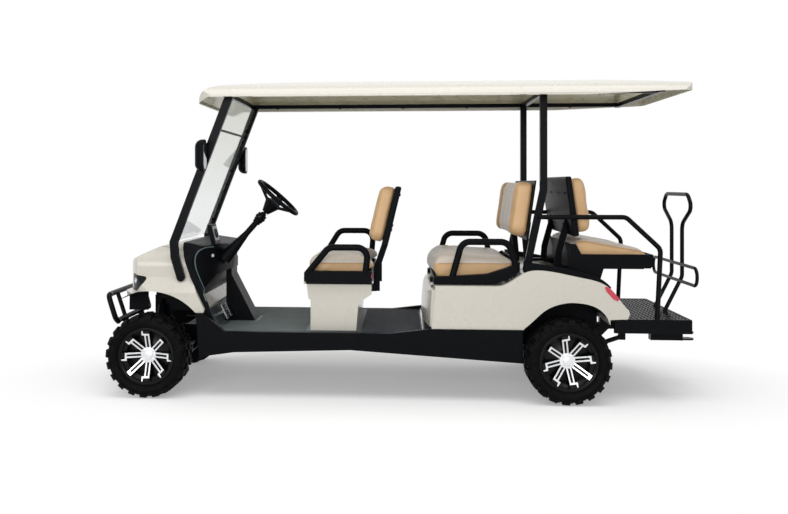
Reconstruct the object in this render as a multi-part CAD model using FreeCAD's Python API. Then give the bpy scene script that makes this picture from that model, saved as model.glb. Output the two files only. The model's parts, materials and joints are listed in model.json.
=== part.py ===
import FreeCAD, Part
import math
import os
from FreeCAD import Vector

# Six-seat lifted electric golf cart, millimetres.
# X runs rearwards, Y to the cart's right, Z up from the ground; the origin is under the middle of the cart.

# Running gear
wheelbase = 2800.0
front_axle_x = -1725.0
tyre_diameter = 559.0
tyre_width = 236.0
overall_width = 1350.0
seat_gap = 0.3
running_gap = 0.3
overrun = 60.0

# Tyre and rim
tyre_wall = 13.0
bead_diameter = 356.0
rim_width = 196.0
rim_flange_height = 14.0
rim_wall = 7.0
rim_well_depth = 24.0
hub_radius = 62.0
hub_depth = 34.0
hub_recess = 66.0
hub_cap_radius = 30.0
hub_cap_height = 16.0
lug_circle_radius = 46.0
lug_radius = 8.0
lug_height = 7.0
spindle_radius = 15.0
spoke_width = 36.0
spoke_thickness = 17.0
spoke_slot_width = 12.0
spoke_slot_depth = 7.0
spoke_count = 8
lug_count = 4

# Chassis
rail_width = 50.0
rail_height = 80.0
rail_y = 300.0
front_rail_y = 185.0
cross_member_length = 60.0
cross_member_height = 60.0
frame_front_x = -1985.0
frame_joggle_x = -1150.0
kick_up_start_x = 1300.0
kick_up_end_x = 1400.0
frame_rear_x = 1820.0

# Floor and sills
floor_top = 445.0
floor_thickness = 15.0
floor_front_x = -1305.0
sill_outer_y = 598.0
sill_thickness = 38.0
sill_rear_x = 785.0
sill_low = 258.0

# Front body
cowl_rear_x = -1352.0
cowl_half_width = 574.0
cowl_upper_half_width = 501.0
cowl_top = 1036.0
cowl_bottom = 566.0
cowl_wall = 8.0
front_arch_radius = 428.0
dash_half_width = 540.0
dash_wall = 10.0
bumper_tube_radius = 19.0
bumper_front_x = -2083.0
bumper_half_width = 372.0
bumper_low = 470.0
bumper_high = 655.0
bumper_bend = 60.0

# Windscreen and mirrors
post_y = 516.0
post_top_x = -1178.0
post_knee_x = -1569.0
post_knee_z = 1040.0
post_shin_x = -1562.0
post_shin_z = 940.0
post_foot_x = -1520.0
post_foot_z = 800.0
glass_thickness = 5.0
mirror_height = 216.0
mirror_width = 118.0
mirror_depth = 92.0
mirror_centre_x = -1350.0
mirror_centre_z = 1632.0
mirror_far_shift = 58.0
mirror_inner_y = 556.0
mirror_stalk_radius = 9.0
mirror_round_share = 0.55
mirror_face_share = 0.2
mirror_corner_share = 0.42

# Roof
roof_front_x = -1385.0
roof_rear_x = 1886.0
roof_half_width = 652.0
roof_inner_half = 605.0
roof_top_z = 2170.0
roof_lip_drop = 144.0
roof_rail_drop = 130.0
post_lap = 16.0
roof_skin = 6.0
roof_corner_round = 110.0

# Rear struts
strut_y = 486.0
strut_width = 46.0
strut_depth = 40.0
strut_top_x = 937.0
strut_knee_x = 937.0
strut_knee_z = 1400.0
strut_foot_x = 822.0

# Seats
seat_half_width = 530.0
rear_seat_inset = 27.0
back_inset = 25.0
arm_inset = 18.0
arm_radius = 22.0
arm_gap = 8.0
arm_bend = 70.0
front_pad_thickness = 60.0
front_shell_thickness = 42.0
middle_pad_thickness = 50.0
middle_shell_thickness = 11.0
rear_pad_thickness = 54.0
rear_shell_thickness = 40.0
bracket_y = 300.0
tray_wall = 6.0

front_seat_front_x = -672.0
front_seat_rear_x = -214.0
front_tray_bottom = 762.0
front_tray_top = 850.0
front_arm_near_top = 1010.0
front_arm_far_top = 1070.0
front_back_bottom_x = -206.0
front_back_bottom_z = 1036.0
front_back_height = 415.0
front_back_lean_deg = 13.5

middle_seat_front_x = 204.0
middle_seat_rear_x = 776.0
middle_arm_top = 1052.0
middle_back_bottom_x = 772.0
middle_back_bottom_z = 1070.0
middle_back_height = 405.0
middle_back_lean_deg = 8.1

rear_seat_front_x = 1112.0
rear_seat_rear_x = 1652.0
rear_tray_bottom = 880.0
rear_tray_top = 972.0
rear_back_bottom_x = 1172.0
rear_back_bottom_z = 1094.0
rear_back_height = 402.0
rear_back_lean_deg = -7.7

# Seat pedestal under the front seat
pedestal_front_x = -628.0
pedestal_rear_x = -318.0
pedestal_step_z = 648.0
pedestal_inset = 33.0
pedestal_lip_z = 690.0
pedestal_wall = 8.0
pedestal_rim_out = 16.0

# Rear body
rear_body_step_z = 764.0
rear_body_front_x = 189.0
rear_body_rear_x = 1470.0
rear_body_bottom = 478.0
rear_body_top = 858.0
rear_body_half_width = 590.0
rear_body_wall = 8.0
tail_lamp_depth = 30.0
battery_front_x = 290.0
battery_rear_x = 760.0
battery_half_width = 262.0
battery_height = 290.0

# Rear deck, rails and hitch
deck_front_x = 1372.0
deck_rear_x = 1890.0
deck_top = 545.0
deck_thickness = 15.0
deck_skirt_height = 90.0
deck_skirt_thickness = 30.0
rail_tube_radius = 16.0
rail_tube_bend = 60.0
side_rail_gap = 3.2
side_rail_top = 1220.0
side_rail_knee_x = 1470.0
side_rail_rear_x = 1692.0
side_rail_shoulder_z = 1010.0
grab_top_z = 1368.0
grab_top_half_width = 330.0
grab_stem_half_width = 118.0
grab_neck_z = 1160.0
grab_bend_z = 790.0
grab_foot_x = 1835.0
grab_stem_x = 1956.0
ring_half_width = 500.0
ring_top_z = 880.0
ring_bottom_z = 762.0
hitch_z = 356.0
hitch_tube_width = 64.0
hitch_tube_wall = 6.5
hitch_tube_rear_x = 1975.0
hitch_tube_length = 210.0
clevis_rear_x = 2071.0
clevis_plate_thickness = 12.0
clevis_plate_width = 76.0
clevis_gap = 34.0
clevis_hole_radius = 9.5

# Steering and suspension
kingpin_y = 418.0
kingpin_radius = 10.0
knuckle_radius = 21.0
arm_eye_radius = 24.0
arm_eye_height = 22.0
lower_arm_z = 206.0
upper_arm_z = 352.0
rack_radius = 12.0
rack_housing_radius = 24.0
rack_half_length = 236.0
rack_housing_half_length = 170.0
tie_rod_radius = 8.0
wheel_centre_x = -885.0
wheel_centre_z = 1344.0
wheel_y = -262.0
steering_wheel_radius = 186.0
steering_grip_radius = 15.0
column_lean_deg = 41.5
column_radius = 21.0
column_length = 470.0
shaft_radius = 12.0
steering_hub_radius = 46.0
steering_hub_drop = 48.0
rear_axle_radius = 38.0
diff_radius = 105.0
diff_half_width = 78.0
motor_radius = 92.0
motor_length = 265.0
spring_half_length = 420.0
spring_width = 48.0
spring_thickness = 20.0
shock_radius = 17.0
spring_end_z = 312.0
spring_rear_z = 395.0
coil_radius = 34.0
coil_wire_radius = 6.0
coil_count = 7
shock_foot_y = 352.0
shock_head_z = 640.0
tower_thickness = 8.0

# Further sizes of the frame, floor and front body
rail_joggle_length = 200.0
cross_member_xs = (-1960.0, -1560.0, -1100.0, -560.0, 100.0, 1240.0, 1440.0, 1740.0)
toe_board_turn = 8.0
toe_board_top_x = -1366.0
toe_board_top_z = 566.0
cowl_sill_reach = 46.0
sill_front_low_x = -1374.0
sill_toe_length = 45.0
sill_toe_rise = 20.0
sill_quarter_x = -1136.0
sill_quarter_z = 306.0
sill_middle_x = -353.0
sill_middle_z = 331.0
sill_waist_x = -86.0
sill_front_high_x = -1200.0
fender_tip_x = -1950.0
fender_tip_z = 632.0
fender_lip_z = 690.0
fender_lip_reach = 40.0
nose_tip_x = -1966.0
cowl_rear_top_x = -1515.0
flare_low_z = 700.0
flare_high_z = 800.0
crown_rise = 3.0
hood_curve = (
    (fender_tip_x, fender_tip_z),
    (-1958.0, 700.0),
    (-1966.0, 780.0),
    (-1958.0, 838.0),
    (-1924.0, 880.0),
    (-1870.0, 918.0),
    (-1800.0, 955.0),
    (-1700.0, 1000.0),
    (-1600.0, 1028.0),
    (cowl_rear_top_x, cowl_top),
)
cowl_rear_edge = ((-1486.0, 908.0), (-1451.0, 806.0), (-1392.0, 681.0), (-1347.0, 587.0))
nose_curve = (
    (0.0, nose_tip_x),
    (200.0, -1950.0),
    (360.0, -1906.0),
    (480.0, -1846.0),
    (545.0, -1780.0),
    (cowl_half_width, -1650.0),
)
cowl_crown_curve = (
    (0.0, cowl_top + crown_rise),
    (250.0, 1030.0),
    (400.0, 1000.0),
    (478.0, 940.0),
    (cowl_upper_half_width, 860.0),
)
dash_curve = (
    (cowl_rear_top_x, cowl_top),
    (-1440.0, 1026.0),
    (-1356.0, 1012.0),
    (-1285.0, 1018.0),
    (-1246.0, 1002.0),
    (-1235.0, 950.0),
)
dash_plan_curve = (
    (0.0, -1235.0),
    (200.0, -1262.0),
    (350.0, -1300.0),
    (450.0, -1345.0),
    (510.0, -1390.0),
    (540.0, -1440.0),
)
dash_crown_curve = (
    (0.0, 1060.0),
    (300.0, 1058.0),
    (430.0, 1045.0),
    (500.0, 1010.0),
    (530.0, 965.0),
    (540.0, 900.0),
)
dash_lip_low = (-1240.0, 828.0)
dash_under = (-1300.0, 812.0)
dash_mouth_x = -1400.0
dash_mouth_zs = (885.0, 975.0)
dash_divider = 90.0
dash_mouth_y = 440.0
kick_inner_y = 520.0
kick_head = (-1430.0, 870.0)
kick_waist = (-1335.0, 640.0)
kick_foot_x = -1262.0
console_half_width = 105.0
console_front_x = -1290.0
console_front_z = 480.0
console_top_x = -1250.0
console_shoulder_z = 780.0
console_foot_x = -1077.0
pod_front_x = -1336.0
pod_rear_x = -1306.0
pod_lean = 44.0
pod_top = 1152.0
pod_half_width = 80.0
post_width = 56.0
post_depth = 30.0
glass_foot = 8.0
glass_head = 1060.0
mirror_post_x = -1352.0
roof_lip_low = roof_top_z - roof_lip_drop
roof_rail_z = roof_top_z - roof_rail_drop
post_top_z = roof_rail_z + post_lap
roof_curve = (
    (roof_front_x, roof_top_z - 158.0),
    (-1330.0, roof_top_z - 95.0),
    (-1150.0, roof_top_z - 45.0),
    (-700.0, roof_top_z - 12.0),
    (0.0, roof_top_z),
    (900.0, roof_top_z - 2.0),
    (1400.0, roof_top_z - 20.0),
    (roof_rear_x, roof_top_z - 62.0),
)
roof_lip = (
    (roof_rear_x, roof_top_z - 117.0),
    (1647.0, roof_top_z - 125.0),
    (1200.0, roof_lip_low),
    (-1310.0, roof_lip_low),
    (roof_front_x, roof_lip_low - 42.0),
)
roof_section = (
    (0.0, roof_top_z),
    (300.0, roof_top_z - 13.0),
    (500.0, roof_top_z - 50.0),
    (615.0, roof_top_z - 88.0),
    (roof_half_width, roof_top_z - 132.0),
)
roof_rail_height = 30.0
roof_rail_front_x = -1225.0
roof_rail_rear_x = 1700.0
roof_cross_width = 36.0
roof_cross_xs = (-1225.0, 922.0, 1664.0)
bumper_return = 12.0
bumper_lean = 62.0
bumper_bar_y = 170.0
bumper_plate = 6.0
bumper_stay_width = 44.0
lamp_outline = (
    (-1932.0, 806.0),
    (-1864.0, 818.0),
    (-1756.0, 798.0),
    (-1778.0, 762.0),
    (-1836.0, 702.0),
    (-1898.0, 702.0),
)
lamp_proud = 2.0
lamp_inner_y = 430.0
lamp_round = 14.0

# Further sizes of the seats and the rear body
tray_floor = 8.0
cushion_nose = 26.0
cushion_round = 24.0
back_round = 22.0
arm_front_inset = 20.0
arm_rear_inset = 20.0
arm_lean = 150.0
front_tray_floor = ((front_seat_front_x, front_tray_bottom), (front_seat_rear_x, front_tray_bottom))
middle_tray_floor = (
    (middle_seat_front_x, rear_body_step_z),
    (577.0, rear_body_step_z + 3.0),
    (694.0, rear_body_step_z + 35.0),
    (middle_seat_rear_x, rear_body_step_z + 92.0),
)
middle_tray_rim = (
    (middle_seat_front_x, rear_body_step_z + 54.0),
    (330.0, rear_body_step_z + 58.0),
    (560.0, rear_body_step_z + 74.0),
    (690.0, rear_body_step_z + 116.0),
    (middle_seat_rear_x, rear_body_step_z + 156.0),
)
rear_tray_floor = ((rear_seat_front_x, rear_tray_bottom), (rear_seat_rear_x, rear_tray_bottom))
front_cushion_tops = (950.0, 930.0)
middle_cushion_tops = (952.0, 936.0)
rear_cushion_tops = (1076.0, 992.0)
tray_round = 20.0
tray_nose = 14.0
rear_tray_tail = 36.0
rear_tray_high = 1040.0
rear_support_front_x = 1100.0
rear_support_rear_x = 1330.0
rear_support_foot = ((1300.0, 780.0), (1230.0, 790.0), (1040.0, 850.0))
support_thickness = 25.0
middle_near_arm_xs = (325.0, 395.0, 705.0, 760.0)
middle_far_arm_xs = (265.0, 335.0, 640.0, 680.0)
stay_offset = 30.0
stay_drop = 70.0
stay_lap = 120.0
stay_shift = 20.0
stay_foot_height = 50.0
stay_width = 44.0
stay_thickness = 12.0
hinge_y = 300.0
hinge_half_length = 60.0
hinge_pin_radius = 5.0
hinge_leaf_radius = 9.0
hinge_leaf_width = 10.0
hinge_reach = 34.0
tongue_height = 30.0
hinge_side_gap = 0.5
hinge_fit = 0.05
hinge_drop = 10.0
rear_body_front_top_x = 216.0
seat_recess_rear_x = 786.0
seat_recess_margin = 15.0
rear_hip_curve = (
    (600.0, rear_body_step_z),
    (690.0, 785.0),
    (760.0, 830.0),
    (830.0, 864.0),
    (900.0, 870.0),
    (984.0, 861.0),
    (1166.0, 824.0),
    (1305.0, 786.0),
    (1360.0, 748.0),
    (1414.0, 680.0),
    (rear_body_rear_x, 615.0),
)
rear_tail_corners = ((1478.0, 590.0), (1464.0, 556.0), (1352.0, deck_top + 5.0))
rear_arch_curve = (
    (795.0, 485.0),
    (860.0, 541.0),
    (936.0, 608.0),
    (1020.0, 646.0),
    (1093.0, 659.0),
    (1165.0, 656.0),
    (1241.0, 639.0),
    (1332.0, 564.0),
)
trim_curve = ((800.0, 925.0), (870.0, 915.0), (1000.0, 895.0), (1163.0, 862.0), (1312.0, 806.0), (1362.0, 760.0))
trim_underside = ((1340.0, 735.0), (1166.0, 790.0), (984.0, 830.0), (800.0, 850.0))
trim_ys = (512.0, 575.0)
tail_lamp_outline = (
    (1312.0, 770.0),
    (1345.0, 764.0),
    (1410.0, 692.0),
    (1402.0, 672.0),
    (1372.0, 684.0),
    (1326.0, 736.0),
)
tail_lamp_round = 8.0
tail_lamp_proud = 3.0
deck_half_width = 540.0
deck_skirt_front_x = 1392.0
side_rail_front_x = 900.0
side_rail_foot_x = 1670.0
seat_frame_front_x = 960.0
seat_frame_rear_x = 1640.0
seat_frame_width = 36.0
grab_shoulder = 90.0
grab_bend_radius = 80.0

# Further sizes of the steering, suspension and wheels
column_start = 150.0
column_boot_start = 190.0
collar_rings = ((14.0, 34.0), (34.0, 38.0), (54.0, 33.0), (74.0, 28.0))
collar_ring_length = 16.0
stalk_reach = -190.0
stalk_radius = 6.0
steering_bell_radius = 66.0
steering_neck_radius = 26.0
steering_bell_length = 92.0
column_boot_length = 240.0
column_boot_radius = 52.0
steering_hub_height = 40.0
pedal_ys = (-300.0, -160.0)
pedal_height = 70.0
pedal_reach = 70.0
pedal_arm_radius = 8.0
pedal_length = 110.0
pedal_width = 66.0
pedal_thickness = 8.0
spring_flat_share = 0.2
arm_spread = 120.0
arm_bar_width = 26.0
tower_half = 60.0
coil_first_share = 0.3
coil_step_share = 0.075
rack_x = -1610.0
rack_z = 236.0
rack_stand_half = 90.0
spindle_reach = 23.0
steering_arm_y = 400.0
steering_arm_width = 30.0
steering_arm_end = 18.0
steering_arm_z = 258.0
steering_arm_thickness = 14.0
kingpin_cap_height = 5.0
ball_gap = 0.2
axle_inset = 110.0
diff_y = 60.0
motor_rise = 18.0
motor_x = 880.0
drum_width = 40.0
drum_radius = 88.0
lug_depth = 15.0
bead_gap = 0.2
bead_share = 0.76
bead_height = 15.5
sidewall_high = 40.0
shoulder_drop = 16.0
shoulder_share = 0.96
crown_share = 0.8
wall_share = 0.11
block_count = 20
block_root = 4.0
block_share = 0.5
block_foot_share = 0.56
block_end_share = 0.94
block_stagger_share = 0.5
tread_row_shares = (-0.95, -0.06)
rim_lip_inset = 8.0
rim_seat_share = 0.7
rim_well_share = 0.5
disc_thickness = 6.0
spoke_root_share = 0.6
spoke_tip_radius = 172.0
spoke_bend_radius = 150.0
hook_width = 14.0
hook_reach = 34.0
front_spoke_heading_deg = 225.0
rear_spoke_heading_deg = 325.0

tyre_radius = tyre_diameter / 2
rear_axle_x = front_axle_x + wheelbase
wheel_outer_y = overall_width / 2
wheel_mid_y = wheel_outer_y - tyre_width / 2
spindle_end_y = wheel_mid_y + spindle_reach
rail_top = floor_top - floor_thickness - seat_gap
rail_bottom = rail_top - rail_height
deck_rail_top = deck_top - deck_thickness - seat_gap
sill_inner_y = sill_outer_y - sill_thickness
rear_seat_half_width = seat_half_width - rear_seat_inset
back_half_width = seat_half_width - back_inset
arm_y = seat_half_width - arm_inset
pad_half_width = arm_y - arm_radius - arm_gap
pedestal_half_width = seat_half_width - pedestal_inset
side_rail_y = rear_seat_half_width + side_rail_gap + rail_tube_radius
seat_recess_half_width = seat_half_width + seat_recess_margin


def box(x_pair, y_pair, z_pair):
    corner = Vector(x_pair[0], y_pair[0], z_pair[0])
    return Part.makeBox(x_pair[1] - x_pair[0], y_pair[1] - y_pair[0], z_pair[1] - z_pair[0], corner)


def rod(start, end, radius):
    run = end - start
    return Part.makeCylinder(radius, run.Length, start, run)


def mirrored(shape):
    return shape.mirror(Vector(), Vector(0, 1, 0))


def both_sides(shape):
    return [shape, mirrored(shape)]


def joined(shapes):
    return shapes[0].multiFuse(shapes[1:]).removeSplitter()


def rounded_path(points, radius, closed=False):
    """A wire of straight runs with tangent arcs at the corners."""
    count = len(points)
    edges = []
    starts = []
    ends = []
    for index, corner in enumerate(points):
        before = points[index - 1]
        after = points[(index + 1) % count]
        if not closed and index in (0, count - 1):
            starts.append(corner)
            ends.append(corner)
            continue
        inward = (corner - before).normalize()
        outward = (after - corner).normalize()
        half_turn = inward.getAngle(outward) / 2
        reach = radius * math.tan(half_turn)
        reach = min(reach, (corner - before).Length * 0.49, (after - corner).Length * 0.49)
        if reach < 0.01:
            starts.append(corner)
            ends.append(corner)
            continue
        bend = reach / math.tan(half_turn)
        towards = (outward - inward).normalize()
        middle = corner + towards * (bend / math.cos(half_turn) - bend)
        starts.append(corner - inward * reach)
        ends.append(corner + outward * reach)
        edges.append((index, Part.Arc(starts[index], middle, ends[index]).toShape()))
    arcs = dict(edges)
    ordered = []
    last = count if closed else count - 1
    for index in range(count):
        if index in arcs:
            ordered.append(arcs[index])
        if index < last:
            following = (index + 1) % count
            if (starts[following] - ends[index]).Length > 0.001:
                ordered.append(Part.makeLine(ends[index], starts[following]))
    return Part.Wire(ordered)


def tube(points, radius, bend, closed=False):
    """A round bar bent along a path."""
    path = rounded_path(points, bend, closed)
    first = path.OrderedEdges[0]
    start = first.valueAt(first.FirstParameter)
    heading = first.tangentAt(first.FirstParameter)
    if (start - path.OrderedVertexes[0].Point).Length > 0.01:
        start = path.OrderedVertexes[0].Point
        heading = heading * -1
    section = Part.Wire(Part.makeCircle(radius, start, heading))
    return path.makePipeShell([section], True, False)


def side_plate(points, y_pair, round_by=0.0):
    """A plate cut to a side-view outline of (x, z) points."""
    corners = [Vector(x, y_pair[0], z) for x, z in points]
    wire = rounded_path(corners, round_by, True)
    return Part.Face(wire).extrude(Vector(0, y_pair[1] - y_pair[0], 0))


def plan_plate(points, z_pair, round_by=0.0):
    """A plate cut to a plan outline of (x, y) points."""
    corners = [Vector(x, y, z_pair[0]) for x, y in points]
    wire = rounded_path(corners, round_by, True)
    return Part.Face(wire).extrude(Vector(0, 0, z_pair[1] - z_pair[0]))


def end_plate(points, x_pair, round_by=0.0):
    """A plate cut to an end-view outline of (y, z) points."""
    corners = [Vector(x_pair[0], y, z) for y, z in points]
    wire = rounded_path(corners, round_by, True)
    return Part.Face(wire).extrude(Vector(x_pair[1] - x_pair[0], 0, 0))


def drawn_in(points, inset):
    """A closed flat outline with each corner moved inwards, so that every side is drawn in evenly."""
    count = len(points)
    turning = sum(a[0] * b[1] - b[0] * a[1] for a, b in zip(points, points[1:] + points[:1]))
    sign = 1 if turning > 0 else -1
    moved = []
    for index, (u, v) in enumerate(points):
        before = points[index - 1]
        after = points[(index + 1) % count]
        normals = []
        for start, end in ((before, (u, v)), ((u, v), after)):
            length = math.hypot(end[0] - start[0], end[1] - start[1])
            normals.append((-(end[1] - start[1]) / length * sign, (end[0] - start[0]) / length * sign))
        share = inset / (1 + normals[0][0] * normals[1][0] + normals[0][1] * normals[1][1])
        moved.append((u + (normals[0][0] + normals[1][0]) * share, v + (normals[0][1] + normals[1][1]) * share))
    return moved


def smooth_face(curve, corners):
    """A flat face: one smooth curve through the first points, straight runs through the rest."""
    spline = Part.BSplineCurve()
    spline.interpolate(curve)
    edges = [spline.toShape()]
    stops = [curve[-1]] + corners + [curve[0]]
    for start, end in zip(stops, stops[1:]):
        edges.append(Part.makeLine(start, end))
    return Part.Face(Part.Wire(edges))


def smooth_plate(curve, corners, inset, place, run):
    """A plate with a curved outline; place turns a flat point into space and run is its thickness."""
    outline = drawn_in(list(curve) + list(corners), inset)
    points = [place(u, v) for u, v in outline]
    return smooth_face(points[:len(curve)], points[len(curve):]).extrude(run)


def smooth_side_plate(curve, corners, y_pair, inset=0.0):
    """A plate with a curved side outline through (x, z) points, closed over straight corners."""
    run = Vector(0, y_pair[1] - y_pair[0], 0)
    return smooth_plate(curve, corners, inset, lambda x, z: Vector(x, y_pair[0], z), run)


def both_halves(half_curve):
    """A mirrored curve of (u, v) points from one half of it, middle first, mirrored in u."""
    return [(-u, v) for u, v in reversed(half_curve[1:])] + list(half_curve)


def smooth_end_plate(half_curve, low_z, x_pair, inset=0.0):
    """A plate across the cart whose top follows a mirrored curve of (y, z) points, middle first."""
    edge_y = half_curve[-1][0]
    corners = [(edge_y, low_z), (-edge_y, low_z)]
    run = Vector(x_pair[1] - x_pair[0], 0, 0)
    return smooth_plate(both_halves(half_curve), corners, inset, lambda y, z: Vector(x_pair[0], y, z), run)


def smooth_plan_plate(half_curve, rear_x, z_pair, inset=0.0):
    """A level plate whose front follows a mirrored curve of (y, x) points, middle first."""
    edge_y = half_curve[-1][0]
    corners = [(edge_y, rear_x), (-edge_y, rear_x)]
    run = Vector(0, 0, z_pair[1] - z_pair[0])
    return smooth_plate(both_halves(half_curve), corners, inset, lambda y, x: Vector(x, y, z_pair[0]), run)


def band(points, width):
    """The outline of a flat bar of one width along (x, z) points."""
    left = []
    right = []
    count = len(points)
    for index, (x, z) in enumerate(points):
        before = points[max(index - 1, 0)]
        after = points[min(index + 1, count - 1)]
        ways = []
        for start, end in ((before, (x, z)), ((x, z), after)):
            length = math.hypot(end[0] - start[0], end[1] - start[1])
            if length > 0:
                ways.append(((end[0] - start[0]) / length, (end[1] - start[1]) / length))
        way_x = sum(way[0] for way in ways)
        way_z = sum(way[1] for way in ways)
        size = math.hypot(way_x, way_z)
        way_x, way_z = way_x / size, way_z / size
        stretch = 1 / (way_x * ways[0][0] + way_z * ways[0][1])
        half = width / 2 * stretch
        left.append((x - way_z * half, z + way_x * half))
        right.append((x + way_z * half, z - way_x * half))
    return left + right[::-1]


def softened(shape, radius, choose=None):
    """Round the chosen edges, one by one where a joint fillet fails."""
    edges = [edge for edge in shape.Edges if choose is None or choose(edge)]
    try:
        rounded = shape.makeFillet(radius, edges)
        if rounded.isValid():
            return rounded
    except Part.OCCError:
        pass
    return shape


def frame_rails():
    """Two box-section rails, narrow ahead, kicked up behind, with cross members."""
    side = rail_y - rail_width / 2
    front_side = front_rail_y - rail_width / 2
    low, high = rail_bottom, rail_top
    rise = deck_rail_top - rail_top
    pieces = []
    pieces.append(box((frame_front_x, frame_joggle_x - rail_joggle_length), (front_side, front_side + rail_width), (low, high)))
    joggle = [
        (frame_joggle_x - rail_joggle_length, front_side),
        (frame_joggle_x, side),
        (frame_joggle_x, side + rail_width),
        (frame_joggle_x - rail_joggle_length, front_side + rail_width),
    ]
    pieces.append(plan_plate(joggle, (low, high)))
    pieces.append(box((frame_joggle_x, kick_up_start_x), (side, side + rail_width), (low, high)))
    kick = [
        (kick_up_start_x, low),
        (kick_up_start_x, high),
        (kick_up_end_x, high + rise),
        (kick_up_end_x, low + rise),
    ]
    pieces.append(side_plate(kick, (side, side + rail_width)))
    pieces.append(box((kick_up_end_x, frame_rear_x), (side, side + rail_width), (low + rise, high + rise)))
    pieces += [mirrored(piece) for piece in pieces]
    cross_low = high - cross_member_height
    for start in cross_member_xs:
        half = front_side if start < frame_joggle_x else side
        lift = rise if start > kick_up_end_x else 0.0
        pieces.append(box((start, start + cross_member_length), (-half, half), (cross_low + lift, high + lift)))
    return joined(pieces)


def floor_pan():
    """The floor from the toe board to the back of the battery bay."""
    points = [
        (floor_front_x, floor_top - floor_thickness),
        (sill_rear_x, floor_top - floor_thickness),
        (sill_rear_x, floor_top),
        (floor_front_x + toe_board_turn, floor_top),
        (toe_board_top_x + floor_thickness, toe_board_top_z),
        (toe_board_top_x, toe_board_top_z),
    ]
    return side_plate(points, (-sill_inner_y, sill_inner_y))


def sills():
    """The black rocker panels along both edges of the floor."""
    points = [
        (cowl_rear_x - cowl_sill_reach, cowl_bottom),
        (sill_front_low_x, sill_low),
        (sill_front_low_x + sill_toe_length, sill_low + sill_toe_rise),
        (sill_quarter_x, sill_quarter_z),
        (sill_middle_x, sill_middle_z),
        (sill_rear_x, sill_low),
        (sill_rear_x, rear_body_bottom),
        (rear_body_front_x, rear_body_bottom),
        (sill_waist_x, floor_top),
        (sill_front_high_x, floor_top),
        (cowl_rear_x, cowl_bottom),
    ]
    return both_sides(side_plate(points, (sill_inner_y, sill_outer_y)))


def wheel_arch(centre_x, radius, centre_z):
    start = Vector(centre_x, -overall_width, centre_z)
    return Part.makeCylinder(radius, overall_width * 2, start, Vector(0, 1, 0))


def cowl_block(inset=0.0, drop=0.0):
    """The front body's outer form, drawn in by an inset and carried down by a drop."""
    half = cowl_half_width - inset
    foot = [(cowl_rear_x, cowl_bottom - drop), (fender_tip_x, cowl_bottom - drop)]
    block = smooth_side_plate(hood_curve, list(cowl_rear_edge) + foot, (-half, half), inset)
    rear_x = cowl_rear_x + overrun
    plan = smooth_plan_plate(nose_curve, rear_x, (0.0, roof_top_z), inset)
    lip = smooth_plan_plate(nose_curve, rear_x, (0.0, fender_lip_z - inset), inset - fender_lip_reach)
    block = block.common(plan.fuse(lip))
    ends = (nose_tip_x - overrun, cowl_rear_x + overrun)
    upper = smooth_end_plate(cowl_crown_curve, 0.0, ends, inset)
    upper_half = cowl_upper_half_width - inset
    flare = [
        (-half, 0.0),
        (-half, flare_low_z - inset),
        (-upper_half, flare_high_z - inset),
        (upper_half, flare_high_z - inset),
        (half, flare_low_z - inset),
        (half, 0.0),
    ]
    return block.common(upper.fuse(end_plate(flare, ends)))


def front_cowl():
    """The moulded front body: hood, nose and fenders, open below and at the arches."""
    arch = wheel_arch(front_axle_x, front_arch_radius, tyre_radius)
    shell = cowl_block().cut(cowl_block(cowl_wall, overrun)).cut(arch)
    return shell.cut(Part.makeCompound(headlamps()))


def dash_outline():
    """The dash's side view, from the scuttle round the rear lip to its foot on the cowl's rear edge."""
    crest = [(x, z) for x, z in dash_curve]
    under = [dash_lip_low, dash_under, (cowl_rear_edge[2][0], cowl_rear_edge[2][1])]
    front = [cowl_rear_edge[1], cowl_rear_edge[0]]
    return crest, under + front


def dash_block(inset=0.0, width_inset=0.0):
    """The dash's outer form, drawn in by an inset in its skin and by another one at its ends."""
    crest, corners = dash_outline()
    half = dash_half_width - width_inset
    block = smooth_side_plate(crest, corners, (-half, half), inset)
    front_x = cowl_rear_top_x - overrun
    plan = smooth_plan_plate(dash_plan_curve, front_x, (0.0, roof_top_z), inset)
    crown = smooth_end_plate(dash_crown_curve, 0.0, (front_x, dash_lip_low[0] + overrun), inset)
    return block.common(plan).common(crown)


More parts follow.
